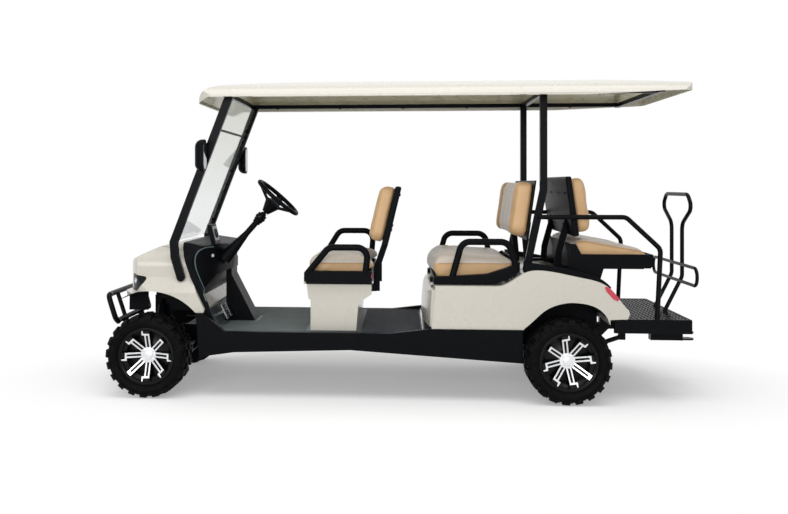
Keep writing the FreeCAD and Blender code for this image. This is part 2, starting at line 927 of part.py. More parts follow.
def dashboard():
    """The dash moulding behind the cowl with its open shelves, side panels, console and display pod."""
    inner = dash_block(dash_wall, dash_wall)
    mouth = box((dash_mouth_x, dash_lip_low[0] + overrun), (dash_divider / 2, dash_mouth_y), dash_mouth_zs)
    pieces = [dash_block().cut(inner.fuse(mouth.common(dash_block(0.0, dash_wall))))]
    pod = side_plate([
        (pod_front_x, dash_mouth_zs[1]),
        (pod_front_x - pod_lean, pod_top),
        (pod_rear_x - pod_lean, pod_top),
        (pod_rear_x, dash_mouth_zs[1]),
    ], (wheel_y - pod_half_width, wheel_y + pod_half_width))
    pieces.append(pod.cut(inner))
    kick = [
        cowl_rear_edge[2],
        cowl_rear_edge[1],
        kick_head,
        kick_waist,
        (kick_foot_x, floor_top),
        (floor_front_x + toe_board_turn, floor_top),
        (toe_board_top_x + floor_thickness, toe_board_top_z),
        cowl_rear_edge[3],
    ]
    pieces += both_sides(side_plate(kick, (kick_inner_y, dash_half_width)))
    console = [
        (console_front_x, dash_lip_low[1]),
        (console_top_x, dash_lip_low[1]),
        (console_top_x, console_shoulder_z),
        (console_foot_x, floor_top),
        (floor_front_x + toe_board_turn, floor_top),
        (console_front_x, console_front_z),
    ]
    box_out = side_plate(console, (-console_half_width, console_half_width))
    hole = side_plate([
        (console_front_x + dash_wall, dash_under[1] + overrun),
        (console_top_x - dash_wall, dash_under[1] + overrun),
        (console_top_x - dash_wall, console_shoulder_z - dash_wall / 2),
        (console_foot_x - dash_wall * 2, floor_top + dash_wall),
        (floor_front_x + toe_board_turn + dash_wall, floor_top + dash_wall),
        (console_front_x + dash_wall, console_front_z),
    ], (-console_half_width + dash_wall, console_half_width - dash_wall))
    pieces.append(box_out.cut(hole))
    return joined(pieces).cut(column_sleeve(column_radius + hinge_fit))


def post_path():
    points = [(post_foot_x, post_foot_z), (post_shin_x, post_shin_z), (post_knee_x, post_knee_z)]
    return points + [(post_top_x, post_top_z)]


def front_posts():
    """The windscreen posts, outside the cowl at the foot and under the roof frame at the head."""
    y_pair = (post_y - post_depth / 2, post_y + post_depth / 2)
    side = side_plate(band(post_path(), post_width), y_pair)
    foot = Part.makeCylinder(post_width / 2, post_depth, Vector(post_foot_x, y_pair[0], post_foot_z), Vector(0, 1, 0))
    top = box((post_foot_x - overrun, post_top_x + overrun), (0.0, overall_width), (roof_rail_z, roof_top_z))
    return both_sides(side.fuse(foot).removeSplitter().cut(top).cut(cowl_block()))


def windshield():
    """The clear sheet between the posts, standing on the scuttle."""
    way = Vector(post_top_x - post_knee_x, 0, post_top_z - post_knee_z).normalize()
    foot = Vector(post_knee_x, 0, post_knee_z) + way * glass_foot
    head = Vector(post_knee_x, 0, post_knee_z) + way * glass_head
    half = post_y - post_depth / 2
    return side_plate(band([(foot.x, foot.z), (head.x, head.z)], glass_thickness), (-half, half))


def mirror(side, shift):
    """A rounded mirror housing on a short stalk from the post at one side."""
    rounded = mirror_depth * mirror_round_share
    inner = side * mirror_inner_y
    outer = side * (mirror_inner_y + mirror_width)
    low = mirror_centre_z - mirror_height / 2
    high = mirror_centre_z + mirror_height / 2
    x = mirror_centre_x + shift
    ends = (x - mirror_depth / 2, x + mirror_depth * mirror_face_share)
    outline = [(inner, low), (outer, low), (outer, high), (inner, high)]
    housing = softened(end_plate(outline, ends, mirror_width * mirror_corner_share), rounded, front_rim(ends[0]))
    stalk_start = Vector(mirror_post_x, side * post_y, mirror_centre_z)
    stalk_end = Vector(x, side * (mirror_inner_y + mirror_width / 2), mirror_centre_z)
    post_side = post_y + post_depth / 2
    inside = box((mirror_post_x - overrun, x + overrun), (-post_side, post_side), (low, high))
    return joined([housing, rod(stalk_start, stalk_end, mirror_stalk_radius).cut(inside)])


def mirrors():
    """The two mirrors, the passenger's turned back to the driver's view."""
    return Part.makeCompound([mirror(-1, 0.0), mirror(1, mirror_far_shift)])


def front_rim(x):
    """Chooses the edges that lie at the front of a shape."""
    return lambda edge: edge.BoundBox.XMax < x + seat_gap


def roof_block(inset=0.0, drop=0.0):
    """The crowned roof, drawn in by an inset and carried down by a drop."""
    half = roof_half_width - inset
    lip = [(x, z - drop) for x, z in roof_lip]
    side = smooth_side_plate(roof_curve, lip, (-half, half), inset)
    ends = (roof_front_x - overrun, roof_rear_x + overrun)
    block = side.common(smooth_end_plate(roof_section, 0.0, ends, inset))
    plan = [(roof_front_x, -half), (roof_rear_x, -half), (roof_rear_x, half), (roof_front_x, half)]
    return block.common(plan_plate(plan, (0.0, roof_top_z + overrun), roof_corner_round))


def roof():
    """The roof moulding: a thin crowned skin with thick side rails."""
    ends = (roof_front_x - overrun, roof_rear_x + overrun)
    middle = box(ends, (-roof_inner_half, roof_inner_half), (0.0, roof_top_z + overrun))
    return roof_block().cut(roof_block(roof_skin, overrun).common(middle))


def roof_frame():
    """Side tubes and cross tubes that carry the roof on the posts and struts."""
    z_pair = (roof_rail_z, roof_rail_z + roof_rail_height)
    rails = []
    for side in (-1, 1):
        y_pair = (side * post_y - post_depth / 2, side * post_y + post_depth / 2)
        rails.append(box((roof_rail_front_x, roof_rail_rear_x), y_pair, z_pair))
    for place in roof_cross_xs:
        rails.append(box((place, place + roof_cross_width), (-roof_inner_half, roof_inner_half), z_pair))
    return joined(rails)


def rear_posts():
    """The struts between the middle and the rear seats."""
    points = [(strut_foot_x, rear_body_top), (strut_knee_x, strut_knee_z), (strut_top_x, roof_rail_z + overrun)]
    side = side_plate(band(points, strut_width), (strut_y - strut_depth / 2, strut_y + strut_depth / 2))
    keep = box((strut_foot_x - strut_width * 3, strut_top_x + strut_width * 3), (0.0, overall_width), (rear_body_top, roof_rail_z))
    return both_sides(side.common(keep))


def front_bumper():
    """A tubular brush guard on two brackets from the frame."""
    half = bumper_half_width
    y_in = bumper_bar_y
    pieces = []
    for x, z in ((bumper_front_x, bumper_high), (bumper_front_x + bumper_lean, bumper_low)):
        points = [
            Vector(x + bumper_return, -half, z),
            Vector(x, -half + bumper_bend, z),
            Vector(x, half - bumper_bend, z),
            Vector(x + bumper_return, half, z),
        ]
        pieces.append(tube(points, bumper_tube_radius, bumper_bend))
    for side in (-1, 1):
        high = Vector(bumper_front_x, side * y_in, bumper_high)
        low = Vector(bumper_front_x + bumper_lean, side * y_in, bumper_low)
        pieces.append(rod(high, low, bumper_tube_radius * 0.8))
        stay_y = side * front_rail_y
        stay = [
            (bumper_front_x + bumper_lean, bumper_low),
            (frame_front_x - bumper_plate, rail_top - rail_height / 2),
        ]
        stay_plate = side_plate(band(stay, bumper_stay_width), (stay_y - bumper_plate, stay_y + bumper_plate))
        pieces.append(stay_plate)
        foot = box((frame_front_x - bumper_plate, frame_front_x), (stay_y - rail_width / 2, stay_y + rail_width / 2), (rail_bottom, rail_top))
        pieces.append(foot)
    trim_half = front_rail_y + rail_width / 2
    trim = box((frame_front_x, frame_front_x + overrun), (-trim_half, trim_half), (0.0, roof_top_z))
    return joined(pieces).cut(trim)


def headlamps():
    """Wedge lamps set in the corners of the nose."""
    y_pair = (lamp_inner_y, cowl_half_width)
    lens = side_plate(lamp_outline, y_pair, lamp_round)
    return both_sides(lens.common(cowl_block(-lamp_proud)))


def pedestal_outline(inset, drop=0.0):
    return [
        (pedestal_front_x + inset, floor_top - drop),
        (pedestal_front_x + inset, pedestal_step_z),
        (pedestal_front_x - pedestal_rim_out + inset, pedestal_step_z + pedestal_rim_out),
        (front_seat_front_x + pedestal_rim_out + inset, front_tray_bottom - inset),
        (front_seat_rear_x - inset, front_tray_bottom - inset),
        (front_seat_rear_x - inset, pedestal_lip_z),
        (pedestal_rear_x + pedestal_rim_out - inset, pedestal_step_z - pedestal_rim_out),
        (pedestal_rear_x - inset, floor_top - drop),
    ]


def front_seat_base():
    """The hollow body-coloured box under the front seat, with the seat's hinge pin along its front edge."""
    half = pedestal_half_width
    outer = side_plate(pedestal_outline(0.0), (-half, half))
    inner = side_plate(pedestal_outline(pedestal_wall, overrun), (-half + pedestal_wall, half - pedestal_wall))
    pins = hinge_pin(front_seat_front_x - hinge_leaf_radius, front_tray_bottom - hinge_drop)
    return joined([outer.cut(inner)] + pins)


def hinge_pin(x, z):
    """A fixed pin on two posts, let into the edge of a seat's base."""
    pieces = []
    for side in (-1, 1):
        y = side * hinge_y
        pieces.append(rod(Vector(x, y - hinge_half_length, z), Vector(x, y + hinge_half_length, z), hinge_pin_radius))
        for end in (-1, 1):
            low = y + end * hinge_half_length - hinge_leaf_width / 2
            pieces.append(box((x - hinge_leaf_radius, x + hinge_reach), (low, low + hinge_leaf_width), (z - hinge_leaf_radius, z + hinge_leaf_radius)))
    return pieces


def hinge_eye(x, z, reach_z):
    """The eyes that turn on the pin, with their tongues up and back into the tray."""
    pieces = []
    for side in (-1, 1):
        y = side * hinge_y
        half = hinge_half_length - hinge_leaf_width / 2 - hinge_side_gap
        eye = rod(Vector(x, y - half, z), Vector(x, y + half, z), hinge_leaf_radius)
        tongue = box((x - hinge_leaf_radius, x + hinge_leaf_radius), (y - half, y + half), (z, reach_z))
        lap_x = x + hinge_leaf_radius + tray_round
        lap = box((x - hinge_leaf_radius, lap_x), (y - half, y + half), (reach_z - tray_round, reach_z))
        hole = rod(Vector(x, y - half - overrun, z), Vector(x, y + half + overrun, z), hinge_pin_radius + hinge_fit)
        pieces.append(eye.fuse(tongue).fuse(lap).cut(hole))
    return pieces


def seat_cushion(front_x, rear_x, bottom, top, half_width):
    """A plain padded block: its underside follows the tray's floor and its top dips to the rear."""
    points = [
        (front_x, top[0] - cushion_nose),
        (front_x + cushion_nose, top[0]),
        (rear_x - cushion_nose, top[1]),
        (rear_x, top[1] - cushion_nose / 2),
    ]
    points += [(x, z) for x, z in reversed(bottom)]
    return side_plate(points, (-half_width, half_width), cushion_round)


def seat_arm(points, side_y):
    """A closed loop of tube at a seat's side, through (x, z) points."""
    corners = [Vector(x, side_y, z) for x, z in points]
    return tube(corners, arm_radius, arm_bend)


def seat_back(place, thickness, half_width, offset):
    """A leaning slab; a positive lean tips its top rearwards."""
    bottom_x, bottom_z, height, lean_deg = place
    slab = Part.makeBox(thickness, half_width * 2, height, Vector(offset, -half_width, 0))
    slab = softened(slab, min(thickness * 0.3, back_round), None)
    slab.rotate(Vector(), Vector(0, 1, 0), lean_deg)
    slab.translate(Vector(bottom_x, 0, bottom_z))
    return slab


def seat_well(floor, x_pair, top_z):
    """The space inside a tray that takes the cushion, over a floor line of (x, z) points."""
    points = list(floor) + [(x_pair[1], top_z), (x_pair[0], top_z)]
    half = pad_half_width + seat_gap
    return side_plate(points, (-half, half))


def inner_floor(floor, x_pair):
    """A tray's inner floor line, above its underside and inside its end walls."""
    line = [(x_pair[0], floor[0][1] + tray_floor)]
    line += [(x, z + tray_floor) for x, z in floor[1:-1]]
    line.append((x_pair[1], floor[-1][1] + tray_floor))
    return line


def front_seat_tray():
    """The front seat's tray with its two side arms, hinged at the front."""
    x_pair = (front_seat_front_x, front_seat_rear_x)
    outline = [
        (x_pair[0] + tray_round, front_tray_bottom + seat_gap),
        (x_pair[1], front_tray_bottom + seat_gap),
        (x_pair[1], front_tray_top),
        (x_pair[0] + tray_nose, front_tray_top),
        (x_pair[0], front_tray_bottom + tray_round * 2),
    ]
    tray = side_plate(outline, (-seat_half_width, seat_half_width))
    well = seat_well(inner_floor(front_tray_floor, front_well_ends()), front_well_ends(), front_tray_top + overrun)
    arms = [seat_arm(front_arm_points(front_arm_near_top), -arm_y), seat_arm(front_arm_points(front_arm_far_top), arm_y)]
    pin_x = front_seat_front_x - hinge_leaf_radius
    eyes = hinge_eye(pin_x, front_tray_bottom - hinge_drop, front_tray_bottom + tray_round * 3)
    return joined([tray.cut(well)] + arms + eyes).cut(well)


def front_well_ends():
    return (front_seat_front_x + tray_nose, front_seat_rear_x - tray_wall)


def front_arm_points(top_z):
    low_z = front_tray_top - arm_radius
    return (
        (front_seat_front_x + arm_front_inset, low_z),
        (front_seat_front_x + arm_front_inset + arm_lean, top_z),
        (front_seat_rear_x - arm_rear_inset, top_z),
        (front_seat_rear_x - arm_rear_inset * 2, low_z),
    )


def middle_seat_tray():
    """The middle seat's boat-shaped tray with its two side arms, hinged at the front."""
    half = seat_half_width
    outline = [(x, z + seat_gap) for x, z in middle_tray_floor] + [(x, z) for x, z in reversed(middle_tray_rim)]
    tray = side_plate(outline, (-half, half))
    ends = middle_well_ends()
    well = seat_well(inner_floor(middle_tray_floor, ends), ends, middle_arm_top)
    arms = [middle_arm(middle_near_arm_xs, -arm_y), middle_arm(middle_far_arm_xs, arm_y)]
    pin_x = middle_seat_front_x - hinge_leaf_radius
    eyes = hinge_eye(pin_x, rear_body_step_z - hinge_drop, rear_body_step_z + tongue_height)
    return joined([tray.cut(well)] + arms + eyes).cut(well)


def middle_arm(xs, side_y):
    """An arm of the middle seat over four places along the cart."""
    front_z = middle_tray_rim[1][1] - arm_radius
    rear_z = middle_tray_rim[-2][1] - arm_radius
    points = ((xs[0], front_z), (xs[1], middle_arm_top), (xs[2], middle_arm_top), (xs[3], rear_z))
    return seat_arm(points, side_y)


def middle_well_ends():
    """The places of the middle tray's inner end walls."""
    return (middle_seat_front_x + tray_wall, middle_seat_rear_x - tray_wall)


def cushion_in(floor, ends, tops):
    """A cushion that rests on a tray's inner floor, just clear of the walls."""
    line = inner_floor(floor, (ends[0] + seat_gap, ends[1] - seat_gap))
    cushion = seat_cushion(ends[0] + seat_gap, ends[1] - seat_gap, line, tops, pad_half_width)
    return cushion.common(seat_well(inner_floor(floor, ends), ends, tops[0] + overrun))


def front_seat_cushion():
    return cushion_in(front_tray_floor, front_well_ends(), front_cushion_tops)


def middle_seat_cushion():
    return cushion_in(middle_tray_floor, middle_well_ends(), middle_cushion_tops)


def rear_well_ends():
    return (rear_seat_front_x + tray_wall, rear_seat_rear_x - tray_wall)


def rear_seat_cushion():
    return cushion_in(rear_tray_floor, rear_well_ends(), rear_cushion_tops)


def front_back_place():
    return (front_back_bottom_x, front_back_bottom_z, front_back_height, front_back_lean_deg)


def middle_back_place():
    return (middle_back_bottom_x, middle_back_bottom_z, middle_back_height, middle_back_lean_deg)


def rear_back_place():
    return (rear_back_bottom_x, rear_back_bottom_z, rear_back_height, rear_back_lean_deg)


def back_point(place, offset, lap):
    """A point inside a backrest, so far behind its face and above its lower edge."""
    bottom_x, bottom_z, height, lean_deg = place
    lean = math.radians(lean_deg)
    x = bottom_x + offset * math.cos(lean) + lap * math.sin(lean)
    z = bottom_z - offset * math.sin(lean) + lap * math.cos(lean)
    return (x, z)


def front_seat_back():
    return seat_back(front_back_place(), front_pad_thickness, pad_half_width, 0.0)


def middle_seat_back():
    return seat_back(middle_back_place(), middle_pad_thickness, pad_half_width, 0.0)


def rear_seat_back():
    return seat_back(rear_back_place(), rear_pad_thickness, pad_half_width, 0.0)


def back_stays(points, floor_z):
    """A pair of flat stays from a level face up to a backrest's shell."""
    stays = []
    for side in (-1, 1):
        y_pair = (side * bracket_y - stay_thickness / 2, side * bracket_y + stay_thickness / 2)
        stay = side_plate(band(points, stay_width), y_pair)
        ends = (points[0][0] - stay_width * 2, points[0][0] + stay_width * 2)
        stays.append(stay.cut(box(ends, (-overall_width, overall_width), (floor_z - overrun * 2, floor_z))))
    return stays


def front_back_shell():
    """The front backrest's shell, on two flat stays from the seat base."""
    shell = seat_back(front_back_place(), front_shell_thickness, back_half_width, front_pad_thickness)
    foot_x = front_seat_rear_x + stay_offset
    foot_z = front_tray_bottom - stay_drop
    joint = back_point(front_back_place(), front_pad_thickness + front_shell_thickness / 2, stay_lap)
    lower = back_point(front_back_place(), front_pad_thickness + front_shell_thickness / 2, 0.0)
    pieces = [shell] + back_stays([(foot_x, foot_z), (foot_x, front_tray_top), lower, joint], foot_z)
    for side in (-1, 1):
        y_pair = (side * bracket_y - stay_thickness * 2, side * bracket_y + stay_thickness * 2)
        pieces.append(box((front_seat_rear_x, foot_x), y_pair, (foot_z, foot_z + stay_foot_height)))
    return joined(pieces).cut(front_seat_back())


def middle_back_shell():
    """The middle backrest's shell, on stays that stand on the rear body."""
    shell = seat_back(middle_back_place(), middle_shell_thickness, back_half_width, middle_pad_thickness)
    offset = middle_pad_thickness + stay_width / 2
    joint = back_point(middle_back_place(), offset, stay_lap)
    lower = back_point(middle_back_place(), offset, 0.0)
    foot = (lower[0] + stay_shift, rear_body_top - overrun / 2)
    pieces = [shell] + back_stays([foot, lower, joint], rear_body_top)
    return joined(pieces).cut(middle_seat_back())


def rear_back_shell():
    """The rear-facing backrest's shell, on stays that stand on the seat's bars."""
    shell = seat_back(rear_back_place(), rear_shell_thickness, rear_seat_half_width, -rear_shell_thickness)
    offset = -rear_shell_thickness / 2
    joint = back_point(rear_back_place(), offset, stay_lap)
    foot = (rear_seat_front_x - stay_width * 1.2, rear_tray_bottom - overrun / 2)
    pieces = [shell] + back_stays([foot, (foot[0] + stay_shift / 2, rear_tray_top), joint], rear_tray_bottom)
    return joined(pieces).cut(rear_seat_back())


def rear_seat_tray():
    """The rear-facing seat's moulded shell with its upturned end and its side supports."""
    x_low, x_high = rear_seat_front_x, rear_seat_rear_x
    half = rear_seat_half_width
    outline = [
        (x_low, rear_tray_bottom),
        (x_high - tray_round, rear_tray_bottom),
        (x_high, rear_tray_bottom + tray_round),
        (x_high, rear_tray_top),
        (x_low + rear_tray_tail * 2, rear_tray_top),
        (x_low + rear_tray_tail, rear_tray_high),
        (x_low, rear_tray_high),
    ]
    tray = side_plate(outline, (-half, half))
    ends = rear_well_ends()
    well = seat_well(inner_floor(rear_tray_floor, ends), ends, rear_tray_high + overrun)
    support = [(rear_support_front_x, rear_tray_bottom), (rear_support_rear_x, rear_tray_bottom)]
    support += list(rear_support_foot)
    plates = both_sides(side_plate(support, (half - support_thickness, half)))
    pieces = [plate.cut(rear_body_block(-seat_gap)) for plate in plates]
    return joined([tray.cut(well)] + pieces)


def rear_body_block(inset=0.0, drop=0.0):
    """The rear body's outer form, drawn in by an inset and carried down by a drop."""
    half = rear_body_half_width - inset
    low = rear_body_bottom - drop
    corners = list(rear_tail_corners) + [
        (rear_tail_corners[-1][0], low),
        (rear_body_front_x, low),
        (rear_body_front_top_x, rear_body_step_z),
    ]
    return smooth_side_plate(rear_hip_curve, corners, (-half, half), inset)


def rear_arch():
    low = rear_body_bottom - overrun
    corners = [(rear_arch_curve[-1][0] + overrun, low), (rear_arch_curve[0][0], low)]
    return smooth_side_plate(rear_arch_curve, corners, (-overall_width, overall_width))


def seat_recess(margin):
    """The flat bay in the body's top that takes the middle seat, and the flat crest behind it."""
    half = seat_recess_half_width + margin
    ends = (rear_body_front_x - overrun, seat_recess_rear_x + margin)
    bay = box(ends, (-half, half), (rear_body_step_z - margin, rear_body_top + overrun))
    crest = box((seat_recess_rear_x, rear_body_rear_x), (-half, half), (rear_body_top - margin, rear_body_top + overrun))
    return bay.fuse(crest)


def rear_body():
    """The moulded rear body over the battery bay and the rear wheels, open below."""
    outer = rear_body_block().cut(seat_recess(0.0))
    inner = rear_body_block(rear_body_wall, overrun).cut(seat_recess(rear_body_wall))
    pins = hinge_pin(middle_seat_front_x - hinge_leaf_radius, rear_body_step_z - hinge_drop)
    body = joined([outer.cut(inner).cut(rear_arch())] + pins)
    rail_ys = (rail_y - rail_width, rail_y + rail_width)
    rails = both_sides(box((kick_up_start_x, frame_rear_x), rail_ys, (0.0, deck_rail_top + seat_gap)))
    return body.cut(Part.makeCompound(rails)).cut(Part.makeCompound(tail_lamps()))


def tail_lens(y_pair):
    return side_plate(tail_lamp_outline, y_pair, tail_lamp_round)


def rear_trim():
    """Black mouldings along the tops of the hips, cut clear of the tail lamps."""
    strip = smooth_side_plate(trim_curve, list(trim_underside), trim_ys)
    return both_sides(strip.cut(rear_body_block(-seat_gap)).cut(tail_lens(trim_ys)))


def tail_lamps():
    """Slanted lamps let into the tail."""
    lens = tail_lens((rear_body_half_width - tail_lamp_depth, rear_body_half_width + tail_lamp_proud))
    return both_sides(lens.common(rear_body_block(-tail_lamp_proud)))


def deck():
    """The rear foot deck with its side skirts."""
    half = deck_half_width
    plate = box((deck_front_x, deck_rear_x), (-half, half), (deck_top - deck_thickness, deck_top))
    skirts = []
    for side in (-1, 1):
        y = side * (half - deck_skirt_thickness / 2)
        skirts.append(box((deck_skirt_front_x, deck_rear_x), (y - deck_skirt_thickness / 2, y + deck_skirt_thickness / 2), (deck_top - deck_skirt_height, deck_top)))
    skirts.append(box((deck_rear_x - deck_skirt_thickness, deck_rear_x), (-half, half), (deck_top - deck_skirt_height, deck_top)))
    return joined([plate] + skirts)


def side_rails():
    """Tube rails from the rear struts over the seat to the deck, with seat stands."""
    points = [
        Vector(side_rail_front_x, side_rail_y, side_rail_top),
        Vector(side_rail_knee_x, side_rail_y, side_rail_top),
        Vector(side_rail_rear_x, side_rail_y, side_rail_shoulder_z),
        Vector(side_rail_foot_x, side_rail_y, deck_top),
    ]
    rail = tube(points, rail_tube_radius, rail_tube_bend)
    rail = rail.cut(box((side_rail_foot_x - overrun, side_rail_foot_x + overrun), (0.0, overall_width), (deck_top - overrun, deck_top)))
    return both_sides(rail)


def rear_seat_frame():
    """Bars from the rear body's top that carry the rear-facing seat."""
    pieces = []
    for side in (-1, 1):
        y = side * bracket_y
        pieces.append(box((seat_frame_front_x, seat_frame_rear_x), (y - seat_frame_width / 2, y + seat_frame_width / 2), (rear_body_top, rear_tray_bottom)))
    pieces.append(box((seat_frame_rear_x - seat_frame_width, seat_frame_rear_x), (-bracket_y, bracket_y), (rear_body_top, rear_tray_bottom)))
    return joined(pieces)


def grab_bar():
    """The hourglass hand loop on the deck, with its oval ring."""
    right = [
        Vector(grab_foot_x, grab_stem_half_width, deck_top),
        Vector(grab_stem_x, grab_stem_half_width, grab_bend_z),
        Vector(grab_stem_x, grab_stem_half_width, grab_neck_z),
        Vector(grab_stem_x, grab_top_half_width, grab_top_z - grab_shoulder),
        Vector(grab_stem_x, grab_top_half_width - grab_shoulder, grab_top_z),
    ]
    left = [Vector(point.x, -point.y, point.z) for point in reversed(right)]
    loop = tube(right + left, rail_tube_radius * 0.85, grab_bend_radius)
    ring = tube([
        Vector(grab_stem_x, -ring_half_width, ring_bottom_z),
        Vector(grab_stem_x, -ring_half_width, ring_top_z),
        Vector(grab_stem_x, ring_half_width, ring_top_z),
        Vector(grab_stem_x, ring_half_width, ring_bottom_z),
    ], rail_tube_radius * 0.7, (ring_top_z - ring_bottom_z) * 0.48, True)
    ring.translate(Vector(-rail_tube_radius * 1.4, 0, 0))
    below = box((grab_foot_x - overrun, grab_stem_x + overrun), (-overall_width, overall_width), (deck_top - overrun, deck_top))
    return loop.fuse(ring).cut(below)


def hitch():
    """A square receiver tube under the deck with a clevis and its pin holes."""
    half = hitch_tube_width / 2
    inner = half - hitch_tube_wall
    start = hitch_tube_rear_x - hitch_tube_length
    tube_out = box((start, hitch_tube_rear_x), (-half, half), (hitch_z - half, hitch_z + half))
    tube_in = box((start + hitch_tube_wall, hitch_tube_rear_x + 1.0), (-inner, inner), (hitch_z - inner, hitch_z + inner))
    hanger = box((frame_rear_x - cross_member_length, frame_rear_x), (-half, half), (hitch_z + half, deck_rail_top - cross_member_height))
    pieces = [tube_out.cut(tube_in), hanger]
    reach = clevis_rear_x - clevis_plate_width / 2
    for side in (-1, 1):
        low = side * clevis_gap / 2
        z_pair = sorted((hitch_z + low, hitch_z + low + side * clevis_plate_thickness))
        plate = box((hitch_tube_rear_x - half, reach), (-clevis_plate_width / 2, clevis_plate_width / 2), z_pair)
        nose = Part.makeCylinder(clevis_plate_width / 2, clevis_plate_thickness, Vector(reach, 0, z_pair[0]))
        hole = Part.makeCylinder(clevis_hole_radius, clevis_plate_thickness * 3, Vector(reach, 0, z_pair[0] - clevis_plate_thickness))
        outside = box((hitch_tube_rear_x - half - 1.0, hitch_tube_rear_x), (-clevis_plate_width, clevis_plate_width), (0.0, hitch_z * 2))
        pieces.append(plate.fuse(nose).cut(hole).cut(outside))
    web = box((hitch_tube_rear_x, hitch_tube_rear_x + clevis_plate_thickness), (-clevis_plate_width / 2, clevis_plate_width / 2), (hitch_z - half, hitch_z + half))
    pieces.append(web)
    return joined(pieces)


def column_way():
    lean = math.radians(column_lean_deg)
    return Vector(-math.sin(lean), 0, -math.cos(lean))


def steering_wheel():
    """The hand wheel with a dished hub and the shaft that turns in the column."""
    way = column_way()
    centre = Vector(wheel_centre_x, wheel_y, wheel_centre_z)
    grip = Part.makeTorus(steering_wheel_radius - steering_grip_radius, steering_grip_radius, centre, way)
    hub_top = centre + way * steering_hub_drop
    hub = Part.makeCylinder(steering_hub_radius, steering_hub_height, hub_top, way)
    pieces = [grip, hub]
    across = way.cross(Vector(0, 1, 0)).normalize()
    for turn in (90.0, 210.0, 330.0):
        angle = math.radians(turn)
        out = across * math.cos(angle) + Vector(0, 1, 0) * math.sin(angle)
        start = hub_top + out * (steering_hub_radius * 0.7) + way * (steering_hub_height / 2)
        end = centre + out * (steering_wheel_radius - steering_grip_radius)
        pieces.append(rod(start, end, steering_grip_radius * 0.7))
    bell = Part.makeCone(steering_bell_radius, steering_neck_radius, steering_bell_length, hub_top, way)
    pieces.append(bell)
    shaft_end = column_start + column_length / 2
    pieces.append(rod(hub_top, centre + way * shaft_end, shaft_radius))
    return joined(pieces)


def column_sleeve(radius):
    start = Vector(wheel_centre_x, wheel_y, wheel_centre_z) + column_way() * column_start
    return Part.makeCylinder(radius, column_length, start, column_way())


def steering_column():
    """The tube that carries the steering shaft, with its collar and its boot on the dash."""
    way = column_way()
    start = Vector(wheel_centre_x, wheel_y, wheel_centre_z) + way * column_start
    pieces = [column_sleeve(column_radius)]
    boot = Part.makeCone(column_radius, column_boot_radius, column_boot_length, start + way * column_boot_start, way)
    pieces.append(boot.cut(dash_block(-seat_gap)))
    for place, radius in collar_rings:
        pieces.append(Part.makeCylinder(radius, collar_ring_length, start + way * place, way))
    stalk_foot = start + way * (collar_rings[0][0] + collar_ring_length / 2)
    pieces.append(rod(stalk_foot, stalk_foot + Vector(0, stalk_reach, 0), stalk_radius))
    bore = Part.makeCylinder(shaft_radius + hinge_fit, column_length * 2, start - way * column_length / 2, way)
    return joined(pieces).cut(bore)


def pedals():
    """Two foot pedals on arms from the toe board."""
    pieces = []
    slope = Vector(toe_board_top_x - floor_front_x, 0, toe_board_top_z - floor_top + floor_thickness).normalize()
    normal = Vector(slope.z, 0, -slope.x)
    for y in pedal_ys:
        foot = Vector(floor_front_x + toe_board_turn, y, floor_top) + slope * pedal_height
        arm = rod(foot - normal * pedal_arm_radius, foot + normal * pedal_reach, pedal_arm_radius)
        pad = Part.makeBox(pedal_length, pedal_width, pedal_thickness, Vector(-pedal_length / 2, -pedal_width / 2, 0))
        pad.rotate(Vector(), Vector(0, 1, 0), math.degrees(math.atan2(normal.x, normal.z)))
        pad.translate(foot + normal * pedal_reach)
        pieces.append(arm.fuse(pad).cut(floor_pan()))
    return pieces


def suspension_arm(z):
    """One wishbone from the frame out to the kingpin's eye."""
    inner_y = front_rail_y + rail_width / 2
    eye = Part.makeCylinder(arm_eye_radius, arm_eye_height, Vector(front_axle_x, kingpin_y, z - arm_eye_height / 2))
    pieces = [eye]
    for side in (-1, 1):
        points = [
            (front_axle_x + side * arm_spread, inner_y),
            (front_axle_x + side * arm_spread + side * arm_bar_width, inner_y),
            (front_axle_x + side * arm_eye_radius * 0.9, kingpin_y - arm_eye_radius * 0.3),
            (front_axle_x + side * arm_eye_radius * 0.9 - side * arm_bar_width, kingpin_y - arm_eye_radius * 0.3),
        ]
        pieces.append(plan_plate(points, (z - arm_eye_height / 2, z + arm_eye_height / 2)))
    hole = Part.makeCylinder(kingpin_radius + hinge_fit, arm_eye_height * 2, Vector(front_axle_x, kingpin_y, z - arm_eye_height))
    return joined(pieces).cut(hole)


def coil_over(foot, head):
    """A shock absorber with its spring shown as stacked turns on a sleeve."""
    run = head - foot
    pieces = [rod(foot, head, shock_radius)]
    first = foot + run * coil_first_share
    last = foot + run * (coil_first_share + coil_count * coil_step_share)
    pieces.append(rod(first, last, coil_radius - coil_wire_radius))
    for index in range(coil_count + 1):
        share = coil_first_share + index * coil_step_share
        pieces.append(Part.makeCylinder(coil_radius, coil_wire_radius, foot + run * share, run))
    return pieces


